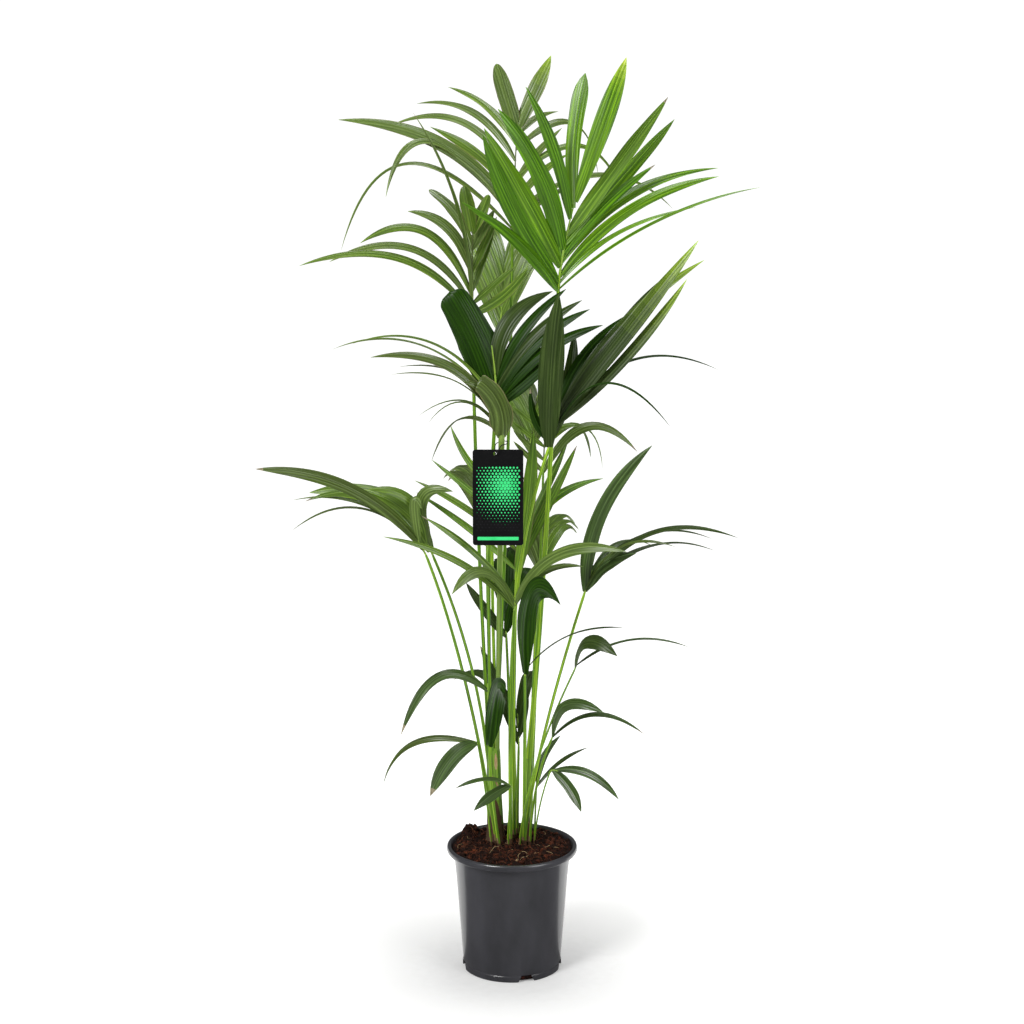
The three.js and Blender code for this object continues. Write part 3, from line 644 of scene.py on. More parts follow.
class Nodes:
    """Writes one material's node tree: each call adds a node and links or sets its inputs."""

    def __init__(self, name):
        self.made = bpy.data.materials.new(name)
        self.made.use_nodes = True
        self.tree = self.made.node_tree
        self.shader = self.tree.nodes["Principled BSDF"]

    def add(self, kind, inputs, output, **settings):
        node = self.tree.nodes.new("ShaderNode" + kind)
        for key, value in settings.items():
            setattr(node, key, value)
        for key, value in inputs.items():
            self.feed(node.inputs[key], value)
        return node.outputs[output]

    def feed(self, socket, value):
        if isinstance(value, bpy.types.NodeSocket):
            self.tree.links.new(value, socket)
        else:
            socket.default_value = linear(value) if isinstance(value, str) else value

    def set(self, **inputs):
        for key, value in inputs.items():
            self.feed(self.shader.inputs[key.replace("_", " ")], value)

    def coordinates(self, kind, scale):
        """The blade's UV, or the object's place in metres, times a scale for each axis or for all."""
        if kind == "blade":
            source = self.add("UVMap", {}, "UV", uv_map="blade")
        else:
            source = self.add("TexCoord", {}, "Object")
        scale = scale if isinstance(scale, tuple) else (scale, scale, scale)
        return self.add("Mapping", {"Vector": source, "Scale": scale}, "Vector")

    def noise(self, kind, scale, detail=3.0, rough=0.55):
        inputs = {
            "Vector": self.coordinates(kind, scale), "Scale": 1.0, "Detail": detail,
            "Roughness": rough,
        }
        return self.add("TexNoise", inputs, "Fac")

    def spread(self, value, low, high, to_low=0.0, to_high=1.0):
        inputs = {
            "Value": value, "From Min": low, "From Max": high, "To Min": to_low, "To Max": to_high,
        }
        return self.add("MapRange", inputs, "Result", clamp=True)

    def patches(self, kind, scale, low, high, detail=3.0, rough=0.55):
        """Noise whose values from low to high are spread over 0 to 1."""
        return self.spread(self.noise(kind, scale, detail, rough), low, high)

    def mix(self, share, first, second):
        return self.add("Mix", {"Factor": share, 6: first, 7: second}, 2, data_type="RGBA")

    def bump(self, height, depth, strength):
        inputs = {"Height": height, "Distance": depth, "Strength": strength}
        self.set(Normal=self.add("Bump", inputs, "Normal"))

    def rough(self, share, low, high):
        self.set(Roughness=self.spread(share, 0.0, 1.0, low, high))


def leaf_material(n, deep, pale, roughness, gloss=USUAL_GLOSS):
    """A satin leaf: long streaks between its veins, a slow mottle and fine parallel veins. The
    streaks and the darkened vein lines are partly the leaf's own tone and partly painted light and
    shade of its pleats.
    """
    streaks = n.patches("blade", (2.8, 0.05, 1.0), 0.36, 0.66)
    mottle = n.patches("blade", (0.5, 0.07, 1.0), 0.35, 0.65, detail=2.0)
    blade = n.coordinates("blade", (1.0, 0.02, 1.0))
    veins = n.add("TexWave", {"Vector": blade, "Scale": 0.7, "Distortion": 1.2}, "Fac")
    # Painted shade: the vein lines darken the green, partly the veins' own tone and partly the shade
    # in the pleats' creases.
    lines = n.spread(veins, 0.1, 0.9, 0.0, VEIN_SHADE)
    streaked = n.mix(streaks, deep, pale)
    # A darker copy of the deep green: painted shade in the vein lines, and the random darker tone of
    # the mottle.
    pleat_shade_and_mottle = scaled(deep, 0.35)
    shaded = n.mix(n.spread(mottle, 0.0, 1.0, 0.0, 0.4), n.mix(lines, streaked, pleat_shade_and_mottle), pleat_shade_and_mottle)
    across = n.add("SeparateXYZ", {"Vector": n.coordinates("blade", 1)}, "X")
    from_middle = n.add("Math", {0: across}, "Value", operation="ABSOLUTE")
    midvein = n.spread(from_middle, 0.02, 0.06, MIDVEIN, 0.0)
    n.set(Base_Color=n.mix(midvein, shaded, scaled(pale, 1.5, 0.02)))
    n.bump(veins, 0.0004, 0.6)
    n.rough(mottle, roughness - 0.06, roughness + 0.08)
    n.set(Specular_IOR_Level=gloss)


def stalk_material(n, deep, pale, speck, amount, roughness=0.36):
    """A green stalk: streaks along it, and specks of brown scurf. The streaks are partly the stalk's
    own tone and partly painted light and shade.
    """
    tone = n.mix(n.patches("blade", (3.6, 0.05, 1.0), 0.4, 0.6), deep, pale)
    scurf = n.patches("object", (900, 900, 260), 0.72 - amount, 0.8 - amount, detail=4.0)
    n.set(Base_Color=n.mix(scurf, tone, speck))
    n.bump(n.noise("blade", (14.0, 0.1, 1.0), 1.0), 0.0004, 0.5)
    n.rough(scurf, roughness, 0.75)


def husk_material(n, deep, pale):
    """Dry, papery sheath: long fibres, matt."""
    fibres = n.patches("object", (900, 900, 35), 0.36, 0.66, detail=4.0)
    n.set(Base_Color=n.mix(fibres, deep, pale))
    n.bump(fibres, 0.0008, 0.8)
    n.rough(fibres, 0.62, 0.82)


def pot_material(n, deep, pale):
    """Charcoal blow-moulded plastic: a satin skin with a slight grain."""
    clouds = n.patches("object", (22, 22, 9), 0.35, 0.68)
    n.set(Base_Color=n.mix(clouds, deep, pale))
    n.bump(n.noise("object", 900, 2.0), 0.00002, 0.3)
    n.rough(clouds, 0.285, 0.305)
    n.set(Specular_IOR_Level=0.6, Coat_Weight=0.5, Coat_Roughness=0.12)


def soil_material(n, dark, brown, rust, scale):
    """Damp coir: dark crumbs with rusty fibre."""
    crumbs = n.patches("object", scale, 0.38, 0.64, detail=6.0, rough=0.7)
    rusty = n.patches("object", scale * 0.45, 0.55, 0.7, detail=5.0)
    n.set(Base_Color=n.mix(rusty, n.mix(crumbs, dark, brown), rust))
    n.bump(n.noise("object", scale * 3, 6.0, 0.7), 0.0012, 0.9)
    n.rough(crumbs, 0.7, 0.92)
    n.set(Specular_IOR_Level=0.2)


def card_material(n, first, second, roughness):
    """Printed, laminated card: an even colour with a slight sheen and faint rub marks."""
    n.set(Base_Color=n.mix(n.patches("object", 60, 0.35, 0.7), first, second))
    rubs = n.patches("object", (300, 300, 900), 0.5, 0.75, detail=4.0)
    n.rough(rubs, roughness, roughness + 0.15)
    n.bump(n.noise("object", 700, 2.0), 0.00005, 0.5)


def backdrop_material(n):
    """A stage wall that shines as a lit white one does."""
    card_material(n, "1c1c1c", "202020", 0.9)
    n.set(Emission_Color=(1, 1, 1, 1), Emission_Strength=BACKDROP_GLOW)


def floor_material(n):
    """A lit white table: its glow grows from the middle outward, which paints shade round the pot."""
    card_material(n, "dededd", "e2e2e1", 0.9)
    flat = n.coordinates("object", (1, 1, 0))
    away = n.add("VectorMath", {0: flat}, "Value", operation="LENGTH")
    # Painted shade: the glow is weakest in the middle, where the pot stands.
    glow = n.spread(away, *PAINTED_SHADE_REACH, *FLOOR_GLOW)
    n.set(Emission_Color=(1, 1, 1, 1), Emission_Strength=glow)


# Each material's function and its values. The leaf tints' materials are made from their greens.
MATERIALS = {
    # stalk_lit and stalk_shade are one stalk's greens in a lighter and a darker copy: painted light
    # and painted shade.
    "stalk_lit": (stalk_material, "4e8008", "aad030", "5c6a22", -0.04),
    "stalk_shade": (stalk_material, "38680a", "8ab426", "4c5a20", -0.02),
    "stalk_foot": (stalk_material, "447208", "96bc2c", "5a4426", 0.05, 0.5),
    "stalk_scurfy": (stalk_material, "5d7f2b", "86a043", "6b5a34", 0.09, 0.5),
    "rib_pale": (stalk_material, "7ba02f", "9fc048", "6c7a30", -0.08),
    "rib_dark": (stalk_material, "4a5a2c", "66703c", "5a4a30", 0.04),
    "sheath_green": (stalk_material, "466f12", "86ae30", "66522c", 0.05, 0.5),
    "sheath_brown": (husk_material, "3d2a1a", "6b4c30"),
    "husk": (husk_material, "6e5436", "b0926a"),
    "straw": (husk_material, "a98456", "d8bd92"),
    "leaf_edge": (leaf_material, linear("6f6a3a"), linear("8f8a55"), 0.5),
    "leaf_dry": (husk_material, "7a7256", "a59a7e"),
    "pot_plastic": (pot_material, "303034", "3b3b40"),
    "soil_bed": (soil_material, "0c0403", "281009", "5e2a18", 220),
    "crumb_dark": (soil_material, "150a06", "311a10", "4c2618", 420),
    "crumb_rust": (soil_material, "33170d", "592d1b", "7a3f24", 420),
    "fibre_rust": (husk_material, "5c2f1a", "95552f"),
    "fibre_straw": (husk_material, "a08058", "d6bb8c"),
    "tag_black": (card_material, "050506", "0a0a0c", 0.3),
    "tag_mint": (card_material, "2bcf72", "3edc82", 0.35),
    "tag_grey": (card_material, "18171b", "232228", 0.35),
    "tie_black": (card_material, "060607", "0e0e10", 0.5),
    "floor_white": (floor_material,),
    "backdrop_white": (backdrop_material,),
}


def leaf_values(tint, side):
    """A leaf material's greens, roughness and gloss. A changing tint's name ends with its step."""
    first, last, share = tint, tint, 0.0
    if tint[-1].isdigit():
        first, last, _ = CHANGING[tint[:-1]]
        share = int(tint[-1]) / CHANGE_STEPS
    start = 0 if side == "top" else 2
    pairs = zip(*(LEAF_COLOURS[key][start:start + 2] for key in (first, last)))
    greens = [mixed(a, b, share) for a, b in pairs]
    return *greens, LEAF_ROUGHNESS[side], LEAF_GLOSS.get(tint, USUAL_GLOSS)


@cache
def material(name):
    """The material of that name, made at its first use."""
    n = Nodes(name)
    if name in MATERIALS:
        make, *values = MATERIALS[name]
        make(n, *values)
    else:
        leaf_material(n, *leaf_values(*name.removeprefix("leaf_").rsplit("_", 1)))
    return n.made


# ---------- leaflets ----------

# A leaflet turns from its frond's facing toward straight up by TWIST at its tip. Its reach strays by
# a share of its length.
TWIST = 0.35
LEAN_STRAY = 0.05
STRAY = 0.022
# Half widths are shares of the widest one: at the base, at the tip and before a round end. RISE and
# FALL are powers: the higher, the fuller the blade. The edges waver by a share, in so many waves.
BASE_WIDTH = 0.3
TIP_WIDTH = 0.03
ROUND_END = 0.78
RISE = 2.5
FALL = 2.8
WAVER = 0.045
WAVER_WAVES = (1, 2.6)
# The height of the fold is a share of the width, or of the length at the least, and the fold is
# flatter in the middle. Pleats and the sideways wave are shares of the half width.
BLADE = 0.45
RIDGE = 0.2
THINNEST = 0.012
FLATTER = 0.45
PLEAT = 0.085
WAVE = 0.05
WAVES = 1.4
# From each of these widths on, a half has a rib more. The edge's strip starts at EDGE.
RIB_WIDTHS = (22, 36)
EDGE = 0.94
# Rows stand so far apart, within their least and their most. A bow adds a share of it to the length.
ROW_STEP = 11
ROWS = (14, 30)
ROUND_ROWS = 48
BOW_SHARE = 0.6
# The share of the leaflets with a dry tip, and where on the leaflet it starts.
DRY_TIPS = 0.2
DRY_SHARE = 0.985


def stage_at(tint, share):
    """The name of a leaflet's tint at a share of its length."""
    if tint not in CHANGING:
        return tint
    start = CHANGING[tint][2]
    return f"{tint}{int(CHANGE_STEPS * (max(0, share - start) / (1 - start)) ** CHANGE_EASE)}"


def outline(t, peak, blunt):
    """Half width at the shares t of a leaflet: a narrow base, and a drawn out or a round tip."""
    late = np.clip((t - peak) / (1 - peak), 0, 1)
    rise = 1 - (1 - np.clip(t / peak, 0, 1)) ** RISE
    base = BASE_WIDTH + (TIP_WIDTH - BASE_WIDTH) * t
    shape = base + (1 - base) * rise * (1 - late ** FALL)
    if blunt:
        shape = shape + (ROUND_END - shape) * late ** 0.6
        end = np.clip((t - (1 - blunt)) / blunt, 0, 1)
        shape = shape * np.sqrt(np.maximum(1 - end ** 2, TIP_WIDTH ** 2))
    return shape


def add_leaflet(piece, start, facing, values, tint):
    """A closed thin blade: folded along its middle, pleated, and bent as its curve bends."""
    reach, bow, width, roll, peak, blunt = values
    middle = start + reach / 2 + 2 * np.array([bow[0], 0.0, bow[1]])
    length = np.linalg.norm(reach) + BOW_SHARE * np.hypot(*bow)
    rows = ROUND_ROWS if blunt else int(np.clip(length / ROW_STEP, *ROWS))
    t = np.linspace(0, 1, rows)
    points = bezier([start, middle, start + reach], t)
    lean = np.clip(roll + rng.normal(0, LEAN_STRAY) + TWIST * t, 0, 1)[:, None]
    chord = unit(reach)
    upper = facing + (UP - facing) * lean
    side, face = frames(points, upper - chord * (upper @ chord)[:, None])

    ribs = 2 + sum(width >= least for least in RIB_WIDTHS)
    u = np.sort(np.concatenate([np.linspace(-1, 1, 4 * ribs + 1), [-EDGE, EDGE]]))
    waver = 1 + WAVER * np.sin(2 * np.pi * (rng.uniform(*WAVER_WAVES) * t + rng.uniform()))
    shape = outline(t, peak, blunt)
    half = 0.5 * width * (shape * waver)[:, None]
    ridge = max(RIDGE * width, THINNEST * length) * shape[:, None]
    fold = (1 - FLATTER * np.sin(np.pi * np.clip(t * 1.15, 0, 1)))[:, None]
    pleats = PLEAT / ribs * half * np.cos(2 * np.pi * ribs * np.abs(u))
    wave = WAVE * half * u * np.sin(2 * np.pi * (WAVES * t[:, None] + rng.uniform()))
    height = ridge * fold * (2 / 3 - np.abs(u)) + pleats + wave
    thick = BLADE * np.sqrt(np.maximum(1 - u ** 2, 0.08)) * np.clip(half / 4, 0.25, 1)
    middles = points[:, None] + (half * u)[..., None] * side[:, None]
    top = middles + (height + thick / 2)[..., None] * face[:, None]
    under = middles + (height - thick / 2)[..., None] * face[:, None]

    columns = len(u)
    slots = np.empty((rows - 1, 2 * columns), object)
    for row, share in zip(slots, t[1:]):
        row[:columns] = f"leaf_{stage_at(tint, share)}_top"
        row[columns:] = f"leaf_{stage_at(tint, share)}_under"
    if "leaf_edge" in piece.materials:
        slots[:, [first + i for first in (0, columns) for i in (-2, -1, 0)]] = "leaf_edge"
    if tint not in CHANGING and not blunt and rng.uniform() < DRY_TIPS:
        slots[t[1:] > DRY_SHARE] = "leaf_dry"
    across = np.concatenate([u, u[::-1]]) * half / 10
    along = (t * length / 10)[:, None] + rng.uniform(0, 50)
    piece.tube(np.concatenate([top, under[:, ::-1]], axis=1), slots, across, along)


def make_leaves(name, frond):
    """The leaflets of a frond, as one piece."""
    facing = unit(np.array(frond.facing, float))
    curve = midrib_points(frond.path)
    tints = [values[-1] or rng.choice(SPRAY[frond.tint]) for values in frond.leaflets]
    used = sorted({stage_at(tint, share) for tint in tints for share in np.linspace(0, 1, 200)})
    materials = [f"leaf_{tint}_{side}" for tint in used for side in ("top", "under")]
    piece = Piece("leaves_" + name, materials + ["leaf_dry"] + ["leaf_edge"] * frond.dry_edged)
    for (share, reach, *values, _), tint in zip(frond.leaflets, tints):
        start = bezier(curve, np.array([share]))[0]
        reach = np.asarray(reach, float)
        reach = reach + np.linalg.norm(reach) * rng.normal(0, STRAY, 3)
        add_leaflet(piece, start, facing, (reach, *values), tint)
    return piece.build(40)


# ---------- stalks and stems ----------

STALK_LOOP = 20
STALK_ROWS = 56
RIB_ROWS = 26
CLASP_ROWS = 14
STEM_LOOP = 90
STEM_ROWS = 130


def clasping_foot(root, radius):
    """The foot of a stalk that comes out of a stem: it parts from the stem below the stem's top."""
    near = min(STEMS.values(), key=lambda stem: math.dist(stem.top[:2], root[:2]))
    axis = np.array([*near.top[:2], root[2]], float)
    t = np.linspace(0, 1, CLASP_ROWS, endpoint=False)
    points = axis + (np.asarray(root) - axis) * (CLASP_OUT + (1 - CLASP_OUT) * t ** 1.5)[:, None]
    points[:, 2] -= CLASP_DROP * (1 - t)
    return points, radius * (CLASP_THIN + (1 - CLASP_THIN) * t ** 0.6)


def make_stalk(name, frond):
    """The stalk from its root to its neck, and on along the midrib to its tip: round, with fine ribs
    and a channel down its front."""
    piece = Piece("limb_" + name, [frond.skin, frond.rib, "stalk_foot", "husk", "sheath_brown"])
    stalk_t, rib_t = np.linspace(0, 1, STALK_ROWS), np.linspace(0, 1, RIB_ROWS)[1:]
    stalk = bezier(frond.path[:-1], stalk_t)
    points = np.concatenate([stalk, bezier(midrib_points(frond.path), rib_t)])
    height = np.linalg.norm(stalk - stalk[0], axis=1)
    from_soil = frond.path[0][2] == ROOT_Z
    widening, reach = FLARE if from_soil else CLASP
    root, neck = frond.radius
    flare = 1 + widening * np.exp(-((height / reach) ** 2))
    rib_radii = SLIMMER * neck + (RIB_TIP - SLIMMER * neck) * rib_t ** 0.7
    radii = np.concatenate([SLIMMER * (root + (neck - root) * stalk_t) * flare, rib_radii])

    slots = np.full((len(points) - 1, STALK_LOOP), frond.skin, object)
    slots[STALK_ROWS + RIB_ROWS // 5:] = frond.rib
    if from_soil:
        above, low = height[:-1], slots[:STALK_ROWS - 1]
        low[above < FOOT.green] = "stalk_foot"
        low[above < FOOT.husk, STALK_LOOP // 4:STALK_LOOP // 2] = "husk"
        low[above < FOOT.brown] = "sheath_brown"
    else:
        foot, foot_radii = clasping_foot(frond.path[0], radii[0])
        points, radii = np.concatenate([foot, points]), np.concatenate([foot_radii, radii])
        slots = np.concatenate([np.full((CLASP_ROWS, STALK_LOOP), frond.skin, object), slots])

    angle = turns(STALK_LOOP, -np.pi)
    channel = CHANNEL.depth * np.exp(-((angle / CHANNEL.width) ** 2))
    section = 1 - channel + RIBS.depth * np.cos(RIBS.count * angle)
    side, face = frames(points, (0.0, -1.0, 0.1))
    rings = round_rings(points, side, face, angle, radii[:, None] * section)
    piece.tube(rings, slots, angle * 0.3, run_length(points)[:, None] / 10)
    return piece.build(60)


def make_stem(name, stem):
    """A stem wrapped in sheaths: each sheath's edge climbs round it, over the one inside."""
    piece = Piece(name.replace("stem", "sheaths"), ["sheath_green", "sheath_brown", "husk", "straw"])
    foot, top = np.array([stem.foot, stem.top], float)
    t = np.linspace(0, 1, STEM_ROWS)
    points = foot + (top - foot) * t[:, None]
    height = t * (top - foot)[2]
    angle = turns(STEM_LOOP, -np.pi)
    climb = height[:, None] * stem.wraps / height[-1]
    phase = (angle / (2 * np.pi) + climb + stem.turn) % 1
    step = SHEATH_STEP * (1 - phase) * np.clip(phase / EDGE_RISE, 0, 1)
    radius = stem.radius[0] + (stem.radius[1] - stem.radius[0]) * t
    above_soil = ((height - STEM_FLARE.start) / STEM_FLARE.reach).clip(0)
    radius = radius + STEM_FLARE.width * np.exp(-above_soil ** 2)
    nodes = sum(np.exp(-(((height - z) / NODE_RING.height) ** 2)) for z in stem.nodes)
    ribs = STEM_RIBS.depth * np.cos(STEM_RIBS.count * angle)
    rings = radius[:, None] + step + NODE_RING.width * nodes[:, None] + ribs
    closing = np.clip((t - (1 - CLOSING)) / CLOSING, 0, 1)
    rings = rings * (1 - stem.close * closing ** 2)[:, None]
    around = [STEM_GRAIN.around * np.array([math.cos(a), math.sin(a)]) for a in angle]
    levels = height / STEM_GRAIN.along
    grain = [[noise.noise(Vector((x, y, level))) for x, y in around] for level in levels]
    side, face = frames(points, (0.0, -1.0, 0.0))
    rings = round_rings(points, side, face, angle, rings + STEM_GRAIN.depth * np.array(grain))

    low = height[:-1, None]
    slots = np.full((STEM_ROWS - 1, STEM_LOOP), "sheath_green", object)
    wave = BROWN_WAVE.height * np.sin(BROWN_WAVE.count * angle + 1)
    slots[low < stem.brown + wave] = "sheath_brown"
    slots[(phase[:-1] < EDGE_DRY) & (low < 2 * stem.brown)] = "husk"
    slots[(nodes[:-1] > 0.5) & (height[:-1] < stem.brown)] = "sheath_brown"
    for middle, half_height, bearing, half_width in stem.splits:
        rise = (low - middle) / half_height
        turn = (np.degrees(angle) - bearing) / half_width
        slots[rise ** 2 + turn ** 2 < 1] = "straw"
    piece.tube(rings, slots, angle * 0.6, height[:, None] / 10)
    return piece.build(50)


# ---------- pot ----------

POT_SEGMENTS = 192
ARC_STEPS = 4
AXIS = 0.3


def rounded(corners):
    """A profile whose corners (radius, height, cut) are rounded: each arc starts cut before it."""
    profile = []
    for i, (r, z, cut) in enumerate(corners):
        here = np.array([r, z], float)
        if not cut:
            profile.append(here)
            continue
        before, after = (np.array(corners[j][:2], float) for j in (i - 1, i + 1))
        start = here + cut * unit(before - here)
        end = here + cut * unit(after - here)
        for t in np.linspace(0, 1, ARC_STEPS + 1):
            profile.append((1 - t) ** 2 * start + 2 * t * (1 - t) * here + t ** 2 * end)
    return np.array(profile)


def wall_radius(z):
    rise = (z - POT.foot_height) / (POT.height - POT.foot_height)
    return POT.body_foot_radius + (POT.body_top_radius - POT.body_foot_radius) * rise


def cut_notch(pot, bearing):
    """Cuts a trapezoid out of the foot."""
    half, top, high = NOTCH.width / 2, NOTCH.top_width / 2, NOTCH.height
    near, far = POT.foot_radius - NOTCH.depth, POT.foot_radius + NOTCH.depth
    wedge = [(-half, -1), (half, -1), (top, high), (-top, high)]
    mesh = bpy.data.meshes.new("notch")
    points = [(x * MM, -y * MM, z * MM) for y in (near, far) for x, z in wedge]
    sides = [(i, (i + 1) % 4, (i + 1) % 4 + 4, i + 4) for i in range(4)]
    mesh.from_pydata(points, [], [*sides, (3, 2, 1, 0), (4, 5, 6, 7)])
    mesh.transform(Matrix.Rotation(math.radians(bearing), 4, "Z"))
    cutter = link("notch", mesh)
    cut = pot.modifiers.new("notch", "BOOLEAN")
    cut.object, cut.operation, cut.solver = cutter, "DIFFERENCE", "EXACT"
    made = evaluated(pot)
    pot.modifiers.clear()
    pot.data = made
    made.set_sharp_from_angle(angle=math.radians(40))
    bpy.data.objects.remove(cutter)


def make_pot():
    """The pot is turned from its profile, with a rolled lip and a foot ring, and then notched."""
    high, rim, step, step_z = POT.height, POT.rim_radius, POT.step, POT.step_height
    foot, foot_z, floor, wall = POT.foot_radius, POT.foot_height, POT.floor, POT.wall
    lip_z, lip_inner = high - POT.lip_height, POT.lip_inner_radius
    lip_r = wall_radius(lip_z) + step
    profile = rounded([
        (AXIS, POT.hollow_height, 0), (POT.hollow_radius, POT.hollow_height, 0),
        (POT.hollow_radius + 3, 0, 1), (foot, 0, 1.2), (foot, foot_z, 0.8),
        (wall_radius(foot_z), foot_z + 1, 0.6), (wall_radius(step_z), step_z, 6),
        (wall_radius(step_z) + step, step_z + 12, 6), (lip_r, lip_z - 1, 0.8),
        (rim - 2.5, lip_z, 1.6), (rim, lip_z + 5, 3), (rim - 2.2, high, 3),
        (lip_inner, high - 0.6, 2), (lip_inner - 2.5, high - 6, 2), (lip_r - wall, lip_z - 3, 1),
        (wall_radius(step_z) - wall, step_z, 1), (wall_radius(floor) - wall, floor, 0.8),
        (AXIS, floor, 0),
    ])
    angle = turns(POT_SEGMENTS)
    rings = profile[:, None, :1] * np.stack([np.sin(angle), -np.cos(angle), 0 * angle], -1)
    rings[..., 2] = profile[:, 1:]
    piece = Piece("pot_shell", ["pot_plastic"])
    piece.tube(rings, "pot_plastic", angle * 10, run_length(profile)[:, None] / 10)
    pot = piece.build(50)
    for bearing in NOTCH.bearings:
        cut_notch(pot, bearing)
    return pot


# ---------- soil ----------

SOIL_SPOKES = 200
SOIL_RINGS = 72


def soil_surface(x, y):
    """The soil's height with its crumbs: a mound that swells, its clod, clumps and grains."""
    mound = SOIL.crown * (1 - (x * x + y * y) / POT.lip_inner_radius ** 2)
    swell = math.sin(0.11 * x + 0.6) * math.cos(0.13 * y) + 0.6 * math.sin(0.27 * x + 0.21 * y)
    from_clod = ((x - CLOD.x) ** 2 + (y - CLOD.y) ** 2) / CLOD.spread ** 2
    smooth = SOIL.level + SOIL.rise + mound + SOIL.ripple * swell
    smooth += CLOD.height * math.exp(-0.5 * from_clod)
    clumps = noise.fractal(Vector((x / CLUMPS.size, y / CLUMPS.size, 3.7)), 1.0, 2.0, 4)
    grains = noise.noise(Vector((x / GRAINS.size, y / GRAINS.size, 9.1)))
    return smooth + CLUMPS.height * clumps + GRAINS.height * grains


def make_soil():
    """The coir: a closed body that fills the pot, with a crumbly top."""
    angle = turns(SOIL_SPOKES)
    inside, floor, edge_z = POT.wall + SOIL.gap, POT.floor + SOIL.gap, SOIL.level - SOIL.edge
    low = [
        (AXIS, floor), (wall_radius(POT.foot_height) - inside - 1, floor),
        (wall_radius(POT.foot_height) - inside, POT.foot_height),
        (wall_radius(POT.step_height) - inside, POT.step_height),
        (wall_radius(edge_z) + POT.step - POT.wall - SOIL.gap, edge_z),
    ]
    rings = [np.stack([r * np.sin(angle), -r * np.cos(angle), 0 * angle + z], -1) for r, z in low]
    edge = POT.lip_inner_radius - 2.5 - 2 * SOIL.gap
    for share in np.linspace(1, 0.003, SOIL_RINGS):
        x, y = edge * share * np.sin(angle), -edge * share * np.cos(angle)
        rings.append(np.stack([x, y, [soil_surface(a, b) for a, b in zip(x, y)]], -1))
    piece = Piece("soil_bed", ["soil_bed"])
    piece.tube(np.array(rings), "soil_bed", angle, 0)
    return piece.build(180)


def scattered(edge):
    """A place on the soil, evenly spread."""
    r, a = edge * math.sqrt(rng.uniform()), rng.uniform(0, 2 * math.pi)
    return r * math.sin(a), -r * math.cos(a)


def add_lump(piece, x, y, lift, size, slot):
    """A crumb: a rough small ball, pressed a little and turned at random."""
    rows, loop = 6, 7
    polar = np.linspace(0.12, np.pi - 0.12, rows)[:, None]
    angle = turns(loop)
    ball = np.stack([np.sin(polar) * np.cos(angle), np.sin(polar) * np.sin(angle),
                     np.cos(polar) + 0 * angle], -1)
    ball = ball * rng.uniform(0.72, 1.25, (rows, loop, 1)) * np.array([1, rng.uniform(0.6, 1), 0.6])
    turn = np.array(Matrix.Rotation(rng.uniform(0, 6.28), 3, rng.normal(size=3).tolist()))
    points = ball @ turn.T * size + np.array([x, y, soil_surface(x, y) + lift])
    piece.tube(points, slot, angle, polar)


def make_crumbs():
    piece = Piece("soil_crumbs", list(CRUMB_SHARES))
    for _ in range(CRUMBS.count):
        x, y = scattered(CRUMBS.edge)
        size = CRUMBS.least + CRUMBS.spread * rng.uniform() ** 3
        slot = rng.choice(piece.materials, p=list(CRUMB_SHARES.values()))
        add_lump(piece, x, y, 0.25 * size, size, slot)
    for _ in range(CRUMBS.on_clod):
        x, y = (c + rng.normal(0, 0.6 * CLOD.spread) for c in (CLOD.x, CLOD.y))
        if math.hypot(x, y) < CRUMBS.edge:
            add_lump(piece, x, y, 0.5, rng.uniform(1, 3), "crumb_dark")
    return piece.build(180)


def make_fibres():
    """Loose coir fibres, and a few long pale strands that lie over the mound: thin tubes with fine
    ends."""
    piece = Piece("soil_fibres", list(FIBRE_SHARES))
    strands = [(*values, "fibre_straw") for values in PALE_STRANDS]
    for _ in range(FIBRES.count):
        x, y = scattered(CRUMBS.edge - 6)
        length, heading = rng.uniform(*FIBRES.length), rng.uniform(0, 2 * math.pi)
        slot = rng.choice(piece.materials, p=list(FIBRE_SHARES.values()))
        curl, radius = rng.normal(0, FIBRES.curl), rng.uniform(*FIBRES.radius)
        strands.append((x, y, heading, length, curl, radius, slot))
    t = np.linspace(0, 1, 10)
    angle = turns(5)
    for x, y, heading, length, curl, radius, slot in strands:
        turn = heading + curl * t
        px = x + length * np.cumsum(np.cos(turn)) / len(t)
        py = y + length * np.cumsum(np.sin(turn)) / len(t)
        over = np.maximum(np.hypot(px, py) / CRUMBS.edge, 1)
        px, py = px / over, py / over
        lift = 0.6 + 0.18 * length * np.sin(np.pi * t) * rng.uniform(0.1, 0.9)
        pz = np.array([soil_surface(a, b) for a, b in zip(px, py)]) + lift
        points = np.stack([px, py, pz], -1)
        width = radius * np.sqrt(np.clip(np.minimum(t, 1 - t) * 8, 0.08, 1))
        side, face = frames(points, (0.05, 0.1, 1.0))
        rings = round_rings(points, side, face, angle, width[:, None])
        piece.tube(rings, slot, angle, t[:, None])
    return piece.build(180)


# ---------- hang tag ----------

TIE_LOOP = 12
TIE_STEPS = 14


def arc(x, y, radius, first, last, steps):
    """Points from the first to the last bearing, in degrees."""
    bearings = [math.radians(first + (last - first) * i / steps) for i in range(steps + 1)]
    return [(x + radius * math.cos(a), y + radius * math.sin(a)) for a in bearings]


def ring_of(x, y, radius, steps):
    return arc(x, y, radius, 0, 360, steps)[:-1]


def rounded_box(left, bottom, right, top, corner):
    """Corner by corner, from the lower right one, counted counterclockwise."""
    west, east, low, high = left + corner, right - corner, bottom + corner, top - corner
    centres = [(east, low), (east, high), (west, high), (west, low)]
    corners = [arc(*at, corner, 90 * i - 90, 90 * i, 8) for i, at in enumerate(centres)]
    return sum(corners, [])


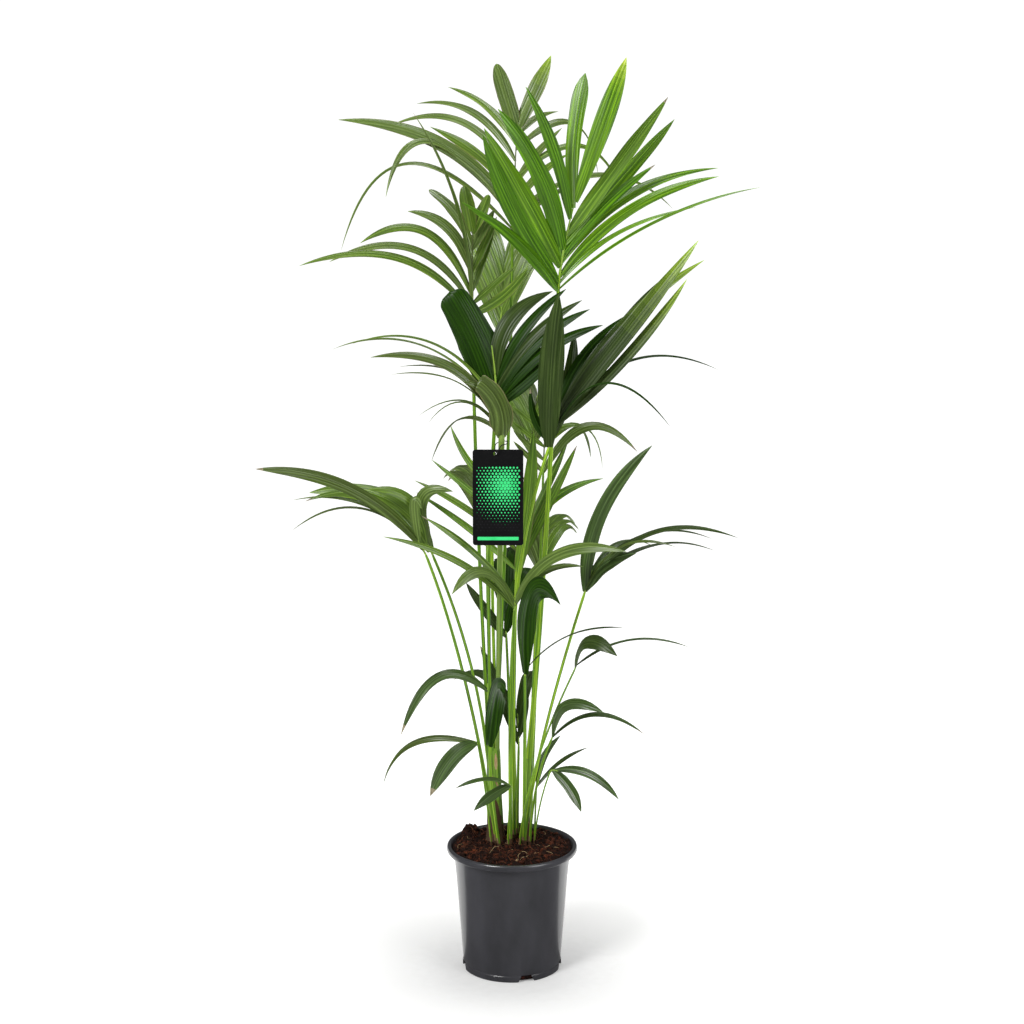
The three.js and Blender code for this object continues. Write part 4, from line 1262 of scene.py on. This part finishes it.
def plate(outlines, thickness, bevel):
    """A flat plate from closed outlines: edges, and holes inside them."""
    curve = bpy.data.curves.new("plate", "CURVE")
    curve.dimensions, curve.fill_mode = "2D", "BOTH"
    curve.extrude, curve.bevel_depth = (thickness / 2 - bevel) * MM, bevel * MM
    curve.bevel_resolution, curve.offset = 1, -bevel * MM
    for outline in outlines:
        line = curve.splines.new("POLY")
        line.points.add(len(outline) - 1)
        corners = np.array([(x * MM, y * MM, 0, 1) for x, y in outline])
        line.points.foreach_set("co", corners.ravel())
        line.use_cyclic_u = True
    shape = link("plate", curve)
    mesh = evaluated(shape)
    bpy.data.objects.remove(shape)
    return mesh


def tag_piece(name, slot, outlines, thickness, bevel, sides):
    """Plates in the card's own plane (X right, Y up, Z to the viewer) taken to the card's place, on
    one or more of its sides: 1 is its front, 0 its middle and -1 its back."""
    build = bmesh.new()
    for side in sides:
        flat = plate(outlines, thickness, bevel)
        if side < 0:
            flat.transform(Matrix.Rotation(math.pi, 4, "Y"))
        out = TAG.thickness / 2 + side * (TAG.thickness + thickness / 2) / 2
        turn = Matrix.Rotation(math.radians(90 + TAG.lean), 4, "X")
        there = Matrix.Translation(Vector((TAG.x, TAG.y, TAG.top)) * MM)
        flat.transform(there @ turn @ Matrix.Translation((0, 0, out * MM)))
        build.from_mesh(flat)
        bpy.data.meshes.remove(flat)
    mesh = bpy.data.meshes.new(name)
    build.to_mesh(mesh)
    build.free()
    mesh.materials.append(material(slot))
    return finish_mesh(mesh, 30)


def make_tag():
    half = TAG.width / 2
    edge = rounded_box(-half, -TAG.height, half, 0, TAG.corner)
    hole = ring_of(TAG_HOLE.x - TAG.x, TAG_HOLE.z - TAG.top, TAG_HOLE.radius, 24)
    return tag_piece("tag_card", "tag_black", [edge, hole], TAG.thickness, 0.15, [0])


def make_tag_print(colour):
    """The raised ink of one colour, on both sides of the card: a field of dots over a plain bar."""
    half, low = TAG.width / 2, -TAG.height
    side = half - BAR.margin
    shapes = [("mint", rounded_box(-side, low + BAR.low, side, low + BAR.high, BAR.corner))]
    for row in range(DOTS.rows):
        for column in range(-DOTS.side, DOTS.side + 1):
            x = (column + 0.5 * (row % 2)) * DOTS.pitch
            y = low + DOTS.low + row * DOTS.pitch * 0.87
            share = 1 - math.dist((x, y), DOTS.focus) / DOTS.span
            if abs(x) > half - DOTS.margin:
                continue
            if share > DOTS.least:
                shapes.append(("mint", ring_of(x, y, DOTS.largest * share, 14)))
            else:
                # Painted sheen: small grey dots low on the card.
                shapes.append(("grey", ring_of(x, y, DOTS.grey, 12)))
    outlines = [outline for name, outline in shapes if name == colour]
    return tag_piece("tag_print_" + colour, "tag_" + colour, outlines, INK, 0.02, [1, -1])


def make_tie():
    """The elastic tie: one closed loop through its points."""
    route = np.asarray(TIE_ROUTE, float)
    points = []
    for p0, p1, p2, p3 in zip(*(np.roll(route, shift, 0) for shift in (1, 0, -1, -2))):
        for t in np.arange(TIE_STEPS) / TIE_STEPS:
            points.append(0.5 * (2 * p1 + (p2 - p0) * t + (2 * p0 - 5 * p1 + 4 * p2 - p3) * t ** 2
                                 + (3 * p1 - p0 - 3 * p2 + p3) * t ** 3))
    points = np.array(points)
    along = unit(np.roll(points, -1, 0) - np.roll(points, 1, 0))
    face = unit(np.cross(along, np.array([0.3, 0.2, 1.0])))
    angle = turns(TIE_LOOP)
    rings = round_rings(points, np.cross(along, face), face, angle, TIE_RADIUS)
    rings = np.concatenate([rings, rings[:1]])
    piece = Piece("tag_loop", ["tie_black"])
    piece.tube(rings, "tie_black", angle, np.arange(len(rings))[:, None] * 0.2, caps=False)
    return piece.build(180)


# ---------- the palm ----------

for name, frond in FRONDS.items():
    place(make_stalk(name, frond), "stalk", "stalk_" + name)
    place(make_leaves(name, frond), "frond", "frond_" + name)
for name, stem in STEMS.items():
    place(make_stem(name, stem), "sheath", name)
place(make_pot(), "pot", "pot")
place(make_soil(), "soil", "soil")
place(make_crumbs(), "soil")
place(make_fibres(), "soil")
place(make_tag(), "tag", "tag")
place(make_tag_print("mint"), "tag")
place(make_tag_print("grey"), "tag")
place(make_tie(), "tie", "tag_tie")

# ---------- floor, light and camera ----------

STAGE_STEPS = 96


def make_stage():
    """A round white floor and wall. The rear wall lights the plant, and the pot reflects the rear
    floor."""
    angle = turns(STAGE_STEPS)
    spokes = np.stack([np.sin(angle), np.cos(angle)], -1)
    rim = [(STAGE.radius * x, STAGE.radius * y, -STAGE.drop) for x, y in spokes]
    centre = [(0.01 * x, 0.01 * y, -STAGE.drop) for x, y in spokes]
    top = [(x, y, STAGE.wall_top) for x, y, _ in rim]
    shown, lit = (round(STAGE_STEPS * share / 2) for share in (STAGE.shown, STAGE.lit))
    for name, points, first, last in (
        ("floor_rear", centre + rim, -shown, shown),
        ("floor_front", centre + rim, shown, STAGE_STEPS - shown),
        ("wall_rear", rim + top, -lit, lit),
        ("wall_front", rim + top, lit, STAGE_STEPS - lit),
    ):
        here = [(i % STAGE_STEPS, (i + 1) % STAGE_STEPS) for i in range(first, last)]
        mesh = bpy.data.meshes.new(name)
        mesh.from_pydata(points, [], [(a, b, b + STAGE_STEPS, a + STAGE_STEPS) for a, b in here])
        mesh.materials.append(material("floor_white" if "floor" in name else "backdrop_white"))
        part = finish_mesh(mesh, 180)
        part.visible_glossy = name == "floor_rear"
        part.visible_diffuse = name != "wall_front"


make_stage()
for name, lamp in LIGHTS.items():
    light = bpy.data.lights.new(name, "AREA")
    light.shape, light.size, light.energy = "DISK", lamp.size, lamp.power
    holder = link(name, light)
    holder.location = lamp.at
    aim = Vector((0, 0, lamp.aim)) - Vector(lamp.at)
    holder.rotation_euler = aim.to_track_quat("-Z", "Y").to_euler()

scene = bpy.context.scene
scene.world = bpy.data.worlds.new("studio")
scene.world.use_nodes = True
background = scene.world.node_tree.nodes["Background"]
background.inputs["Color"].default_value = (1, 1, 1, 1)
background.inputs["Strength"].default_value = WORLD_LIGHT
scene.view_settings.view_transform = "Standard"

camera = link("camera", bpy.data.cameras.new("camera"))
camera.data.lens, camera.data.sensor_width = CAMERA.lens, CAMERA.sensor
camera.location = CAMERA.at
camera.rotation_euler = (math.radians(90 - CAMERA.down), 0, 0)
scene.camera = camera
